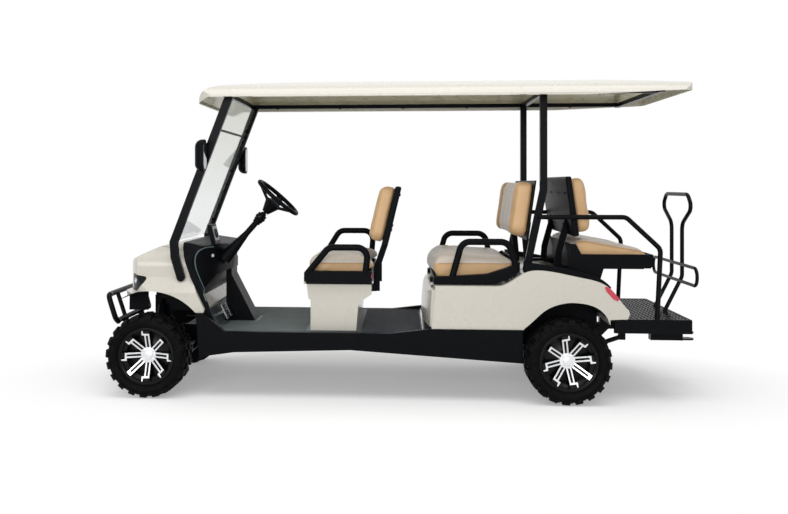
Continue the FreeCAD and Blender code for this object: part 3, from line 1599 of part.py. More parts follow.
def front_suspension():
    """The wishbones, their frame plates, the coil-over shocks and the rack housing."""
    pieces = []
    side_y = front_rail_y + rail_width / 2
    arm_ends = (front_axle_x - arm_spread - arm_bar_width, front_axle_x + arm_spread + arm_bar_width)
    for z in (lower_arm_z, upper_arm_z):
        pieces.append(suspension_arm(z))
        pieces.append(mirrored(pieces[-1]))
    for side in (-1, 1):
        plate_ys = sorted((side * (side_y - tower_thickness), side * side_y))
        tower_ys = sorted((side * side_y, side * (side_y + tower_thickness)))
        pieces.append(box(arm_ends, plate_ys, (lower_arm_z - arm_eye_height, rail_bottom)))
        pieces.append(box((front_axle_x - tower_half, front_axle_x + tower_half), tower_ys, (rail_bottom, shock_head_z)))
        foot = Vector(front_axle_x, side * shock_foot_y, upper_arm_z)
        head = Vector(front_axle_x, side * (side_y + tower_thickness), shock_head_z - shock_radius * 2)
        pieces += coil_over(foot, head)
    pieces.append(box(arm_ends, (-side_y, side_y), (lower_arm_z - arm_eye_height, lower_arm_z - arm_eye_height + tower_thickness)))
    housing = rod(Vector(rack_x, -rack_housing_half_length, rack_z), Vector(rack_x, rack_housing_half_length, rack_z), rack_housing_radius)
    stand = box((rack_x - rack_housing_radius, rack_x + rack_housing_radius), (-rack_stand_half, rack_stand_half), (lower_arm_z - arm_eye_height, rack_z))
    bore = rod(Vector(rack_x, -overall_width, rack_z), Vector(rack_x, overall_width, rack_z), rack_radius + hinge_fit)
    return joined(pieces + [housing, stand]).cut(bore)


def knuckle():
    """The steered knuckle: kingpin, spindle and steering arm."""
    low = lower_arm_z - arm_eye_height
    pin = Part.makeCylinder(kingpin_radius, upper_arm_z - lower_arm_z + arm_eye_height * 2, Vector(front_axle_x, kingpin_y, low))
    post_low = lower_arm_z + arm_eye_height / 2 + running_gap
    post_high = upper_arm_z - arm_eye_height / 2 - running_gap
    post = Part.makeCylinder(knuckle_radius, post_high - post_low, Vector(front_axle_x, kingpin_y, post_low))
    spindle = rod(Vector(front_axle_x, kingpin_y, tyre_radius), Vector(front_axle_x, spindle_end_y, tyre_radius), spindle_radius)
    arm = box((front_axle_x, rack_x + steering_arm_end), (steering_arm_y - steering_arm_width / 2, steering_arm_y + steering_arm_width / 2), (steering_arm_z, steering_arm_z + steering_arm_thickness))
    caps = []
    for z in (low - kingpin_cap_height, upper_arm_z + arm_eye_height):
        caps.append(Part.makeCylinder(kingpin_radius * 1.6, kingpin_cap_height, Vector(front_axle_x, kingpin_y, z)))
    return joined([pin, post, spindle, arm] + caps)


def steering_rack():
    """The rack bar with a tie rod and ball stud at each end."""
    bar = rod(Vector(rack_x, -rack_half_length, rack_z), Vector(rack_x, rack_half_length, rack_z), rack_radius)
    pieces = [bar]
    for side in (-1, 1):
        inner = Vector(rack_x, side * (rack_half_length - rack_radius), rack_z)
        outer = Vector(rack_x, side * steering_arm_y, rack_z)
        pieces.append(rod(inner, outer, tie_rod_radius))
        pieces.append(Part.makeSphere(rack_radius, outer))
        pieces.append(Part.makeCylinder(tie_rod_radius, steering_arm_z - rack_z - ball_gap, outer))
    return joined(pieces)


def rear_axle():
    """The live rear axle with its differential and the drive motor."""
    half = wheel_mid_y - axle_inset
    tube_part = rod(Vector(rear_axle_x, -half, tyre_radius), Vector(rear_axle_x, half, tyre_radius), rear_axle_radius)
    spindle = rod(Vector(rear_axle_x, -spindle_end_y, tyre_radius), Vector(rear_axle_x, spindle_end_y, tyre_radius), spindle_radius)
    diff = rod(Vector(rear_axle_x, diff_y - diff_half_width, tyre_radius), Vector(rear_axle_x, diff_y + diff_half_width, tyre_radius), diff_radius)
    motor_z = tyre_radius + motor_rise
    motor = rod(Vector(motor_x, diff_y, motor_z), Vector(motor_x, diff_y - motor_length, motor_z), motor_radius)
    neck = box((motor_x, rear_axle_x), (diff_y - diff_half_width / 2, diff_y + diff_half_width / 2), (tyre_radius - rear_axle_radius, motor_z))
    drums = []
    for side in (-1, 1):
        end = Vector(rear_axle_x, side * half, tyre_radius)
        drums.append(rod(end, Vector(rear_axle_x, side * (half + drum_width), tyre_radius), drum_radius))
    return joined([tube_part, spindle, diff, motor, neck] + drums)


def rear_springs():
    """Leaf packs over the axle, hung from the rails at both ends."""
    pieces = []
    low = tyre_radius + rear_axle_radius
    for side in (-1, 1):
        y_pair = (side * rail_y - spring_width / 2, side * rail_y + spring_width / 2)
        ends = (rear_axle_x - spring_half_length, rear_axle_x + spring_half_length)
        path = [
            (ends[0], spring_end_z),
            (rear_axle_x - spring_half_length * spring_flat_share, low + spring_thickness / 2),
            (kick_up_start_x, low + spring_thickness / 2),
            (ends[1], spring_rear_z),
        ]
        leaf = side_plate(band(path, spring_thickness), y_pair)
        hangers = []
        tops = (rail_bottom, rail_bottom + deck_rail_top - rail_top)
        for end, end_z, top in zip(ends, (spring_end_z, spring_rear_z), tops):
            x_pair = (end - spring_thickness, end + spring_thickness)
            hangers.append(box(x_pair, y_pair, (end_z - spring_thickness, top)))
        pieces.append(joined([leaf] + hangers))
    return pieces


def battery():
    """The battery block on the floor under the middle seat."""
    return box((battery_front_x, battery_rear_x), (-battery_half_width, battery_half_width), (floor_top, floor_top + battery_height))


def turned(points, centre):
    """A ring turned about a wheel's axle line from (radius, y) points."""
    corners = [Vector(centre.x, centre.y + y, centre.z + radius) for radius, y in points]
    face = Part.Face(Part.makePolygon(corners + corners[:1]))
    return face.revolve(centre, Vector(0, 1, 0), 360)


def tread_row(centre, y_pair, stagger):
    """One row of square-edged blocks round the tyre, as a toothed ring."""
    base = tyre_radius - lug_depth
    root = base - block_root
    corners = []
    for index in range(block_count):
        for radius, share in ((tyre_radius, 0.0), (tyre_radius, block_share), (root, block_foot_share), (root, block_end_share)):
            angle = 2 * math.pi * (index + share + stagger) / block_count - math.pi / 2
            corners.append(Vector(
                centre.x + radius * math.cos(angle),
                centre.y + y_pair[0],
                centre.z + radius * math.sin(angle),
            ))
    teeth = Part.Face(Part.makePolygon(corners + corners[:1])).extrude(Vector(0, y_pair[1] - y_pair[0], 0))
    start = Vector(centre.x, centre.y - overall_width, centre.z)
    return teeth.cut(Part.makeCylinder(root - block_root, overall_width * 2, start, Vector(0, 1, 0)))


def tyre(centre, side):
    """A tyre with two staggered rows of tread blocks."""
    half = tyre_width / 2
    base = tyre_radius - lug_depth
    inner = bead_diameter / 2 + bead_gap
    outside = [
        (inner, bead_share),
        (inner + bead_height, bead_share),
        (inner + sidewall_high, 1.0),
        (base - shoulder_drop, shoulder_share),
        (base, crown_share),
    ]
    inside = [
        (base - tyre_wall, crown_share - wall_share),
        (inner + sidewall_high, 1.0 - wall_share),
        (inner + tyre_wall, bead_share - wall_share),
    ]
    outline = [(radius, -half * share) for radius, share in outside]
    outline += [(radius, half * share) for radius, share in reversed(outside)]
    outline += [(radius, half * share) for radius, share in reversed(inside)]
    outline += [(radius, -half * share) for radius, share in inside]
    rows = []
    for stagger, shares in ((0.0, tread_row_shares), (block_stagger_share, [-share for share in reversed(tread_row_shares)])):
        rows.append(tread_row(centre, (half * shares[0], half * shares[1]), stagger))
    return joined([turned(outline, centre)] + rows)


def spoke(centre, side, index, heading_deg):
    """One raised spoke with its slot; six of the eight end in a hook towards the long one."""
    half = rim_width / 2
    face_y = centre.y + side * (half - rim_lip_inset)
    hub_y = centre.y + side * (half - hub_recess)
    back_y = hub_y - side * spoke_thickness
    plain = index in (0, spoke_count // 2)
    end = spoke_tip_radius if index == 0 else spoke_bend_radius
    profile = [
        (hub_radius * spoke_root_share, back_y),
        (hub_radius * spoke_root_share, hub_y),
        (spoke_tip_radius, face_y),
        (spoke_tip_radius, face_y - side * spoke_thickness),
    ]
    corners = [Vector(centre.x - spoke_width * 2, y, centre.z + radius) for radius, y in profile]
    slab = Part.Face(Part.makePolygon(corners + corners[:1])).extrude(Vector(spoke_width * 4, 0, 0))
    ends_y = (centre.y - overall_width, centre.y + overall_width)
    outline = box((centre.x - spoke_width / 2, centre.x + spoke_width / 2), ends_y, (centre.z, centre.z + end))
    if not plain:
        way = -1 if index < spoke_count / 2 else 1
        tip = sorted((centre.x, centre.x + way * hook_reach))
        foot = box((tip[0], tip[1]), ends_y, (centre.z + spoke_bend_radius - hook_width, centre.z + spoke_bend_radius))
        stem = sorted((centre.x + way * (hook_reach - hook_width), centre.x + way * hook_reach))
        toe = box((stem[0], stem[1]), ends_y, (centre.z + spoke_bend_radius - hook_width, centre.z + spoke_tip_radius))
        outline = outline.fuse(foot).fuse(toe)
    slot_y = sorted((hub_y - side * spoke_slot_depth, hub_y + side * rim_width))
    shape = slab.common(outline)
    groove_low = centre.z + hub_radius
    groove_high = centre.z + spoke_bend_radius - hook_width
    groove = box((centre.x - spoke_slot_width / 2, centre.x + spoke_slot_width / 2), slot_y, (groove_low, groove_high))
    lift = slab.copy()
    lift.translate(Vector(0, -side * spoke_slot_depth, 0))
    shape = shape.cut(groove.cut(lift))
    shape.rotate(centre, Vector(0, 1, 0), 90.0 - heading_deg + 360.0 / spoke_count * index)
    return shape


def rim(centre, side, heading_deg):
    """A drop-centre rim with a dished disc, eight slotted spokes and a hub."""
    half = rim_width / 2
    seat = bead_diameter / 2
    flange = seat + rim_flange_height
    well = seat - rim_well_depth
    seat_y = half * rim_seat_share
    well_y = half * rim_well_share
    outside = [(flange, half), (seat, half - rim_wall), (seat, seat_y), (well, well_y)]
    inside = [
        (well - rim_wall, well_y - rim_wall),
        (seat - rim_wall, seat_y - rim_wall),
        (seat - rim_wall, half - rim_wall * 2),
        (flange - rim_wall, half),
    ]
    barrel = [(radius, -y) for radius, y in outside] + [(radius, y) for radius, y in reversed(outside)]
    barrel += [(radius, y) for radius, y in reversed(inside)] + [(radius, -y) for radius, y in inside]
    pieces = [turned(barrel, centre)]
    hub_y = centre.y + side * (half - hub_recess)
    hub_start = Vector(centre.x, hub_y - side * hub_depth, centre.z)
    hub_end = Vector(centre.x, hub_y, centre.z)
    pieces.append(rod(hub_start, hub_end, hub_radius))
    disc_start = Vector(centre.x, hub_y - side * hub_depth, centre.z)
    pieces.append(rod(disc_start, disc_start + Vector(0, side * disc_thickness, 0), well - rim_wall / 2))
    for index in range(spoke_count):
        pieces.append(spoke(centre, side, index, heading_deg))
    pieces.append(rod(hub_end, hub_end + Vector(0, side * hub_cap_height, 0), hub_cap_radius))
    for index in range(lug_count):
        angle = 2 * math.pi * (index + 0.5) / lug_count
        foot = hub_end + Vector(lug_circle_radius * math.cos(angle), 0, lug_circle_radius * math.sin(angle))
        pieces.append(rod(foot, foot + Vector(0, side * lug_height, 0), lug_radius))
    limit = Vector(centre.x, centre.y - side * overall_width, centre.z)
    bore = rod(limit, Vector(centre.x, side * (spindle_end_y + running_gap), centre.z), spindle_radius + hinge_fit)
    return joined(pieces).cut(bore)


def wheel_centres():
    return {
        "front_left": Vector(front_axle_x, -wheel_mid_y, tyre_radius),
        "front_right": Vector(front_axle_x, wheel_mid_y, tyre_radius),
        "rear_left": Vector(rear_axle_x, -wheel_mid_y, tyre_radius),
        "rear_right": Vector(rear_axle_x, wheel_mid_y, tyre_radius),
    }


def save(name, shape):
    solids = []
    for item in shape if isinstance(shape, list) else [shape]:
        solids += item.Solids
    body = solids[0] if len(solids) == 1 else Part.makeCompound(solids)
    body.exportStep(os.path.join("parts", name + ".step"))
    limits = body.BoundBox
    print(name, len(solids), "solids", body.isValid(), [round(value) for value in (limits.XMin, limits.XMax, limits.YMin, limits.YMax, limits.ZMin, limits.ZMax)], "litres", round(body.Volume / 1e6, 2))


os.makedirs("parts", exist_ok=True)
left_knuckle = mirrored(knuckle())
PARTS = {
    "frame_rails": frame_rails(),
    "floor_pan": floor_pan(),
    "sills": sills(),
    "front_cowl": front_cowl(),
    "headlamps": headlamps(),
    "dashboard": dashboard(),
    "front_posts": front_posts(),
    "windshield": windshield(),
    "mirrors": mirrors(),
    "roof": roof(),
    "roof_frame": roof_frame(),
    "rear_posts": rear_posts(),
    "front_bumper": front_bumper(),
    "front_seat_base": front_seat_base(),
    "front_seat_tray": front_seat_tray(),
    "front_seat_cushion": front_seat_cushion(),
    "front_seat_back": front_seat_back(),
    "front_back_shell": front_back_shell(),
    "middle_seat_tray": middle_seat_tray(),
    "middle_seat_cushion": middle_seat_cushion(),
    "middle_seat_back": middle_seat_back(),
    "middle_back_shell": middle_back_shell(),
    "rear_seat_tray": rear_seat_tray(),
    "rear_seat_cushion": rear_seat_cushion(),
    "rear_seat_back": rear_seat_back(),
    "rear_back_shell": rear_back_shell(),
    "rear_seat_frame": rear_seat_frame(),
    "rear_body": rear_body(),
    "rear_trim": rear_trim(),
    "tail_lamps": tail_lamps(),
    "deck": deck(),
    "side_rails": side_rails(),
    "grab_bar": grab_bar(),
    "hitch": hitch(),
    "steering_wheel": steering_wheel(),
    "steering_column": steering_column(),
    "steering_rack": steering_rack(),
    "front_suspension": front_suspension(),
    "knuckle_left": left_knuckle,
    "knuckle_right": knuckle(),
    "rear_axle": rear_axle(),
    "rear_springs": rear_springs(),
    "battery": battery(),
    "pedals": pedals(),
}
for name, shape in PARTS.items():
    save(name, shape)
for name, centre in wheel_centres().items():
    side = 1 if centre.y > 0 else -1
    heading_deg = front_spoke_heading_deg if "front" in name else rear_spoke_heading_deg
    save("tyre_" + name, tyre(centre, side))
    save("rim_" + name, rim(centre, side, heading_deg))
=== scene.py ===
import bmesh
import bpy
import json
import math
from itertools import product
from mathutils import Matrix, Vector
from mathutils.bvhtree import BVHTree


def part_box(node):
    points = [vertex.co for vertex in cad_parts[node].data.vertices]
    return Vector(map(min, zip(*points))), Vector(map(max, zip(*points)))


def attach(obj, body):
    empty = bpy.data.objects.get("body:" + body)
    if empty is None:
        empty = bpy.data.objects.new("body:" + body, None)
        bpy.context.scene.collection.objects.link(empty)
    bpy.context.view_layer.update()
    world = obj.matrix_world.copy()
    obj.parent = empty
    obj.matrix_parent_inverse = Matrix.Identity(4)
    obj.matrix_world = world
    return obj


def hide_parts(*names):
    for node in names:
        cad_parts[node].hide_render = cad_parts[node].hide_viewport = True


# Looks of a six-seat lifted golf cart, in metres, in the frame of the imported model.

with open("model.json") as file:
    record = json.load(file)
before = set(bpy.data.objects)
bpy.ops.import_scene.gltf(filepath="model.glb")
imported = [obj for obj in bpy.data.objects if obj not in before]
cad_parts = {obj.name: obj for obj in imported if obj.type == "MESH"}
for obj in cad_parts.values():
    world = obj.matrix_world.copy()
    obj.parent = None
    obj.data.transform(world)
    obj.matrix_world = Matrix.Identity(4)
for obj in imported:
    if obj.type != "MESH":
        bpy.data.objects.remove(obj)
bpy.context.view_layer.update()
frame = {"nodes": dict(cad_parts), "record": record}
nodes = frame["nodes"]

# Photograph and camera
PHOTO_WIDTH = 788.0
PHOTO_HEIGHT = 514.0
SENSOR_WIDTH = 36.0
FOCAL_PIXELS = 866.8
AXIS_PIXEL = (340.2, 182.7)
CAMERA_PLACE = (0.0024, -6.3708, 1.4393)
CAMERA_YAW_DEG = -4.17
CAMERA_PITCH_DEG = -0.09

# Colours, as linear values
IVORY = (0.66, 0.63, 0.555)
IVORY_SHADE = (0.65, 0.618, 0.542)
# painted shade for the faces of the roof that look down
OLIVE_PAINTED_SHADE = (0.80, 0.76, 0.52)
BLACK_BLUE = (0.0022, 0.0027, 0.0042)
BLACK_WARM = (0.0032, 0.0036, 0.0046)
RUBBER = (0.0020, 0.0021, 0.0025)
RUBBER_DUST = (0.0045, 0.0048, 0.0056)
CREAM = (0.68, 0.61, 0.53)
CREAM_SHADE = (0.60, 0.52, 0.44)
TAN = (0.74, 0.50, 0.27)
TAN_SHADE = (0.62, 0.37, 0.17)
MAT_GREY = (0.085, 0.105, 0.104)
MAT_WORN = (0.13, 0.16, 0.155)
# painted shade for the floor behind the front seat and on the toe board
MAT_PAINTED_SHADE = (0.010, 0.014, 0.021)
SILVER = (0.88, 0.885, 0.89)
STEEL = (0.36, 0.37, 0.38)
LENS_RED = (0.52, 0.008, 0.03)
TEAL_GREY = (0.10, 0.15, 0.155)


class Finish:
    """A Principled material built up from patterns in object space."""

    def __init__(self, name, color, roughness, sockets=None):
        self.material = bpy.data.materials.new(name)
        self.material.use_nodes = True
        self.tree = self.material.node_tree
        self.shader = self.tree.nodes["Principled BSDF"]
        values = {"Base Color": (*color, 1.0), "Roughness": roughness}
        values.update(sockets or {})
        for socket, value in values.items():
            self.shader.inputs[socket].default_value = value
        self.place = self.tree.nodes.new("ShaderNodeTexCoord").outputs["Object"]

    def link(self, output, socket):
        self.tree.links.new(output, socket)

    def node(self, kind, inputs=None, **settings):
        made = self.tree.nodes.new(kind)
        for name, value in settings.items():
            setattr(made, name, value)
        for name, value in (inputs or {}).items():
            if isinstance(value, bpy.types.NodeSocket):
                self.link(value, made.inputs[name])
            else:
                made.inputs[name].default_value = value
        return made

    def stretched(self, stretch):
        return self.node("ShaderNodeVectorMath", {0: self.place, 1: stretch}, operation="MULTIPLY").outputs[0]

    def clouds(self, scale, detail=3.0, stretch=(1.0, 1.0, 1.0)):
        inputs = {"Vector": self.stretched(stretch), "Scale": scale, "Detail": detail}
        return self.node("ShaderNodeTexNoise", inputs).outputs["Fac"]

    def cells(self, scale, feature="F1"):
        inputs = {"Vector": self.place, "Scale": scale}
        return self.node("ShaderNodeTexVoronoi", inputs, feature=feature).outputs["Distance"]

    def math(self, operation, first, second=0.0):
        return self.node("ShaderNodeMath", {0: first, 1: second}, operation=operation).outputs[0]

    def axis(self, letter, output=None):
        return self.node("ShaderNodeSeparateXYZ", {0: output or self.place}).outputs[letter]

    def ramp(self, factor, low, high):
        inputs = {"Value": factor, "From Min": low, "From Max": high}
        return self.node("ShaderNodeMapRange", inputs).outputs["Result"]

    def blend(self, factor, first, second):
        mix = self.node("ShaderNodeMix", data_type="RGBA")
        self.link(factor, mix.inputs["Factor"])
        for value, socket in ((first, mix.inputs[6]), (second, mix.inputs[7])):
            if isinstance(value, bpy.types.NodeSocket):
                self.link(value, socket)
            else:
                socket.default_value = (*value, 1.0)
        return mix.outputs[2]

    def color(self, output):
        self.link(output, self.shader.inputs["Base Color"])

    def rough(self, factor, low, high):
        inputs = {"Value": factor, "To Min": low, "To Max": high}
        result = self.node("ShaderNodeMapRange", inputs).outputs["Result"]
        self.link(result, self.shader.inputs["Roughness"])

    def bump(self, height, depth, strength=1.0):
        before = self.shader.inputs["Normal"].links
        inputs = {"Height": height, "Distance": depth, "Strength": strength}
        if before:
            inputs["Normal"] = before[0].from_socket
        made = self.node("ShaderNodeBump", inputs)
        self.link(made.outputs["Normal"], self.shader.inputs["Normal"])


def ivory_paint(name="ivory_paint", below=None):
    """Gelcoat-like paint; faces that look down get painted shade in the below colour."""
    finish = Finish(name, IVORY, 0.26, {"Coat Weight": 0.35, "Coat Roughness": 0.08})
    paint = finish.blend(finish.clouds(3.0, 4.0), IVORY, IVORY_SHADE)
    if below:
        # painted shade: faces that look down take the below colour, mottled by clouds
        up = finish.axis("Z", finish.node("ShaderNodeNewGeometry").outputs["Normal"])
        facing_up = finish.ramp(up, -0.6, -0.1)
        painted_shade = finish.blend(finish.clouds(7.0, 5.0), below, tuple(0.8 * value for value in below))
        paint = finish.blend(facing_up, painted_shade, paint)
    finish.color(paint)
    finish.rough(finish.clouds(9.0), 0.22, 0.34)
    finish.bump(finish.clouds(420.0, 1.0), 0.00012)
    return finish.material


def tyre_rubber():
    finish = Finish("tyre_rubber", RUBBER, 0.6, {"Specular IOR Level": 0.07})
    dust = finish.ramp(finish.clouds(26.0, 6.0), 0.45, 0.75)
    finish.color(finish.blend(dust, RUBBER, RUBBER_DUST))
    finish.rough(finish.clouds(50.0), 0.45, 0.7)
    finish.bump(finish.clouds(500.0, 3.0), 0.0003)
    return finish.material


def floor_mat():
    """Grey rubber in front, with painted shade behind the front seat and up the toe board."""
    finish = Finish("floor_mat", MAT_GREY, 0.5, {"Specular IOR Level": 0.15})
    wear = finish.clouds(4.0, 6.0, (1.0, 2.0, 1.0))
    front = finish.ramp(finish.axis("X"), -0.15, -0.75)
    toe = finish.ramp(finish.axis("Z"), 0.54, 0.47)
    worn = finish.blend(wear, MAT_GREY, MAT_WORN)
    # painted shade everywhere outside the floor of the front footwell
    finish.color(finish.blend(finish.math("MULTIPLY", front, toe), MAT_PAINTED_SHADE, worn))
    finish.rough(finish.clouds(20.0), 0.3, 0.55)
    finish.bump(finish.cells(420.0), 0.0004)
    return finish.material


def clear_sheet():
    """Acrylic sheet, darker and warmer towards its head."""
    sockets = {"Transmission Weight": 0.9, "IOR": 1.15}
    finish = Finish("clear_sheet", (0.9, 0.92, 0.91), 0.05, sockets)
    toward_head = finish.ramp(finish.axis("Z"), 1.25, 1.95)
    finish.color(finish.blend(toward_head, (0.93, 0.95, 0.95), (0.70, 0.71, 0.65)))
    finish.rough(finish.clouds(5.0, 5.0), 0.02, 0.09)
    finish.bump(finish.clouds(6.0, 2.0), 0.0004, 0.3)
    return finish.material


def red_lens():
    finish = Finish("red_lens", LENS_RED, 0.16, {"Coat Weight": 0.5, "Coat Roughness": 0.05})
    finish.color(finish.blend(finish.cells(160.0), LENS_RED, (0.7, 0.05, 0.10)))
    finish.rough(finish.clouds(30.0), 0.1, 0.2)
    finish.bump(finish.cells(160.0), 0.0008, 0.6)
    return finish.material


def seat_vinyl(name, border_y, border_z=None):
    """Cream vinyl with tan outside a sewn line at border_y, and only below border_z if it is given."""
    finish = Finish(name, CREAM, 0.42, {"Sheen Weight": 0.05, "Coat Weight": 0.05, "Specular IOR Level": 0.4})
    side = finish.math("ABSOLUTE", finish.axis("Y"))
    outside = finish.ramp(side, border_y - SEAM_HALF, border_y + SEAM_HALF)
    if border_z:
        below = finish.ramp(finish.axis("Z"), border_z + SEAM_HALF, border_z - SEAM_HALF)
        outside = finish.math("MULTIPLY", outside, below)
    mottle = finish.clouds(9.0, 5.0)
    cream = finish.blend(mottle, CREAM, CREAM_SHADE)
    tan = finish.blend(mottle, TAN, TAN_SHADE)
    finish.color(finish.blend(outside, cream, tan))
    finish.rough(finish.clouds(45.0), 0.34, 0.5)
    finish.bump(finish.cells(330.0), 0.0005, 0.7)
    finish.bump(finish.clouds(14.0, 3.0), 0.002, 0.25)
    return finish.material


# colour, roughness, sockets, second colour with its clouds, clouds of the gloss with its limits, relief
PLAIN = {
    "black_plastic": (
        BLACK_BLUE, 0.42, {"Specular IOR Level": 0.06},
        (BLACK_WARM, 14.0, 5.0), (30.0, 3.0, 0.34, 0.48), ("cells", (620.0,), 0.0003, 1.0),
    ),
    "black_steel": (
        BLACK_BLUE, 0.3, {"Specular IOR Level": 0.08},
        (BLACK_WARM, 20.0, 4.0), (60.0, 2.0, 0.24, 0.38), ("clouds", (900.0, 2.0), 0.00012, 1.0),
    ),
    "bare_steel": (
        STEEL, 0.35, {"Metallic": 0.9}, ((0.22, 0.225, 0.23), 18.0, 5.0),
        (60.0, 3.0, 0.28, 0.46), ("clouds", (400.0, 2.0, (1.0, 1.0, 8.0)), 0.0001, 1.0),
    ),
    "rim_gloss": (
        (0.005, 0.005, 0.006), 0.2, {"Specular IOR Level": 0.15},
        None, (40.0, 3.0, 0.15, 0.26), ("clouds", (300.0, 1.0), 0.00008, 1.0),
    ),
    "machined_face": (
        SILVER, 0.25, {"Metallic": 1.0},
        ((0.76, 0.77, 0.79), 30.0, 3.0), (220.0, 2.0, 0.2, 0.34), ("clouds", (900.0, 2.0), 0.00005, 1.0),
    ),
    "dark_lens": (
        (0.006, 0.007, 0.009), 0.2, {"Specular IOR Level": 0.1},
        None, (30.0, 3.0, 0.2, 0.3), ("clouds", (60.0, 2.0), 0.0004, 0.4),
    ),
    "lamp_glass": (
        (0.9, 0.92, 0.94), 0.05, {"Transmission Weight": 0.7, "IOR": 1.4, "Coat Weight": 0.5},
        None, (30.0, 3.0, 0.02, 0.09), ("cells", (160.0,), 0.0008, 0.5),
    ),
    "mirror_glass": ((0.30, 0.32, 0.34), 0.04, {"Metallic": 1.0}, None, (12.0, 4.0, 0.02, 0.07), None),
    "teal_panel": (
        TEAL_GREY, 0.35, {"Coat Weight": 0.2, "Coat Roughness": 0.1},
        ((0.075, 0.11, 0.12), 12.0, 4.0), (60.0, 3.0, 0.3, 0.44), ("cells", (900.0,), 0.0001, 1.0),
    ),
    "piping_vinyl": (
        TAN_SHADE, 0.4, {},
        ((0.45, 0.25, 0.10), 40.0, 3.0), (80.0, 3.0, 0.3, 0.45), ("cells", (700.0,), 0.0002, 1.0),
    ),
}


def plain(name):
    """A material from the table: clouds of a second colour, uneven gloss and a fine relief."""
    color, roughness, sockets, second, gloss, relief = PLAIN[name]
    finish = Finish(name, color, roughness, sockets)
    if second:
        other, scale, detail = second
        finish.color(finish.blend(finish.clouds(scale, detail), color, other))
    scale, detail, low, high = gloss
    finish.rough(finish.clouds(scale, detail), low, high)
    if relief:
        pattern, sizes, depth, strength = relief
        heights = {"cells": finish.cells, "clouds": finish.clouds}[pattern]
        finish.bump(heights(*sizes), depth, strength)
    return finish.material


MATERIALS = {
    "ivory_body": ivory_paint(),
    "black_plastic": plain("black_plastic"),
    "black_steel": plain("black_steel"),
    "floor_rubber": floor_mat(),
    "clear_sheet": clear_sheet(),
    "lamp_lens": plain("dark_lens"),
    "red_lens": red_lens(),
    "tyre_rubber": tyre_rubber(),
    "rim_alloy": plain("rim_gloss"),
    "bare_steel": plain("bare_steel"),
    "battery_case": plain("black_plastic"),
}
MACHINED = plain("machined_face")
MIRROR = plain("mirror_glass")
TEAL = plain("teal_panel")
GLASS = plain("lamp_glass")
# the roof's paint carries painted shade on its underside
NODE_MATERIALS = {"roof": ivory_paint("roof_paint", OLIVE_PAINTED_SHADE), "pedals": MACHINED}


def placed(name, data):
    made = bpy.data.objects.new(name, data)
    bpy.context.scene.collection.objects.link(made)
    return made


def meshed(name, points, faces):
    """A new object made of points and faces."""
    mesh = bpy.data.meshes.new(name)
    mesh.from_pydata([tuple(point) for point in points], [], faces)
    return placed(name, mesh)


def apply_modifiers(piece):
    graph = bpy.context.evaluated_depsgraph_get()
    mesh = bpy.data.meshes.new_from_object(piece.evaluated_get(graph))
    piece.modifiers.clear()
    piece.data = mesh


def smooth(mesh, angle_deg=35.0):
    """Smooth shading that keeps edges sharper than the angle."""
    mesh.polygons.foreach_set("use_smooth", [True] * len(mesh.polygons))
    mesh.set_sharp_from_angle(angle=math.radians(angle_deg))


def finish_nodes():
    """Every carried-over node gets its slot's material and smooth shading."""
    slots = {row["node"]: row["material_slot"] for row in frame["record"]["subparts"]}
    for name, node in nodes.items():
        material = NODE_MATERIALS.get(name) or MATERIALS.get(slots.get(name))
        if material is None:
            continue
        node.data.materials.clear()
        node.data.materials.append(material)
        smooth(node.data)


AHEAD = (-1.0, 0.0, 0.0)
REARWARD = (1.0, 0.0, 0.0)
UP = (0.0, 0.0, 1.0)
DOWN = (0.0, 0.0, -1.0)
SIDE_RAY_Y = 0.9


def face_tree(mesh):
    corners = [vertex.co for vertex in mesh.vertices]
    return BVHTree.FromPolygons(corners, [face.vertices for face in mesh.polygons])


def surface(*names):
    """Gives a function for the first point of some CAD nodes along a line and the way its face looks."""
    trees = [face_tree(nodes[name].data) for name in names]

    def hit(start, way):
        found = [tree.ray_cast(Vector(start), Vector(way)) for tree in trees]
        found = [result for result in found if result[0] is not None]
        if not found:
            return None, None
        place, normal = min(found, key=lambda result: result[3])[:2]
        return place, normal if normal.dot(Vector(way)) < 0 else -normal

    return hit


def angles(count, start=0.0):
    return [start + 2 * math.pi * index / count for index in range(count)]


MITRE_LIMIT = 0.4


def drawn_in(points, inset):
    """A closed outline moved inwards by an inset; it runs anticlockwise."""
    count = len(points)
    moved = []
    for index in range(count):
        before = Vector(points[index - 1])
        here = Vector(points[index])
        after = Vector(points[(index + 1) % count])
        first = (here - before).normalized()
        second = (after - here).normalized()
        inward = (Vector((-first.y, first.x)) + Vector((-second.y, second.x))).normalized()
        reach = inset / max(inward.dot(Vector((-first.y, first.x))), MITRE_LIMIT)
        moved.append(tuple(here + inward * reach))
    return moved


def rounded(points, rounds=2):
    """A closed outline with its corners cut and cut again."""
    for _ in range(rounds):
        cut = []
        for index, point in enumerate(points):
            after = Vector(points[(index + 1) % len(points)])
            cut.append(tuple(Vector(point).lerp(after, 0.25)))
            cut.append(tuple(Vector(point).lerp(after, 0.75)))
        points = cut
    return points


def rectangle(length, width):
    u, v = length / 2, width / 2
    return [(-u, -v), (u, -v), (u, v), (-u, v)]


def curve_through(points, steps=6):
    """A smooth open line through points."""
    points = [Vector(point) for point in points]
    line = []
    for index in range(len(points) - 1):
        before = points[max(index - 1, 0)]
        start = points[index]
        end = points[index + 1]
        after = points[min(index + 2, len(points) - 1)]
        for step in range(steps):
            t = step / steps
            first = start * 2 + (end - before) * t
            second = (before * 2 - start * 5 + end * 4 - after) * t * t
            third = (start * 3 - before - end * 3 + after) * t * t * t
            line.append((first + second + third) / 2)
    return line + [points[-1]]


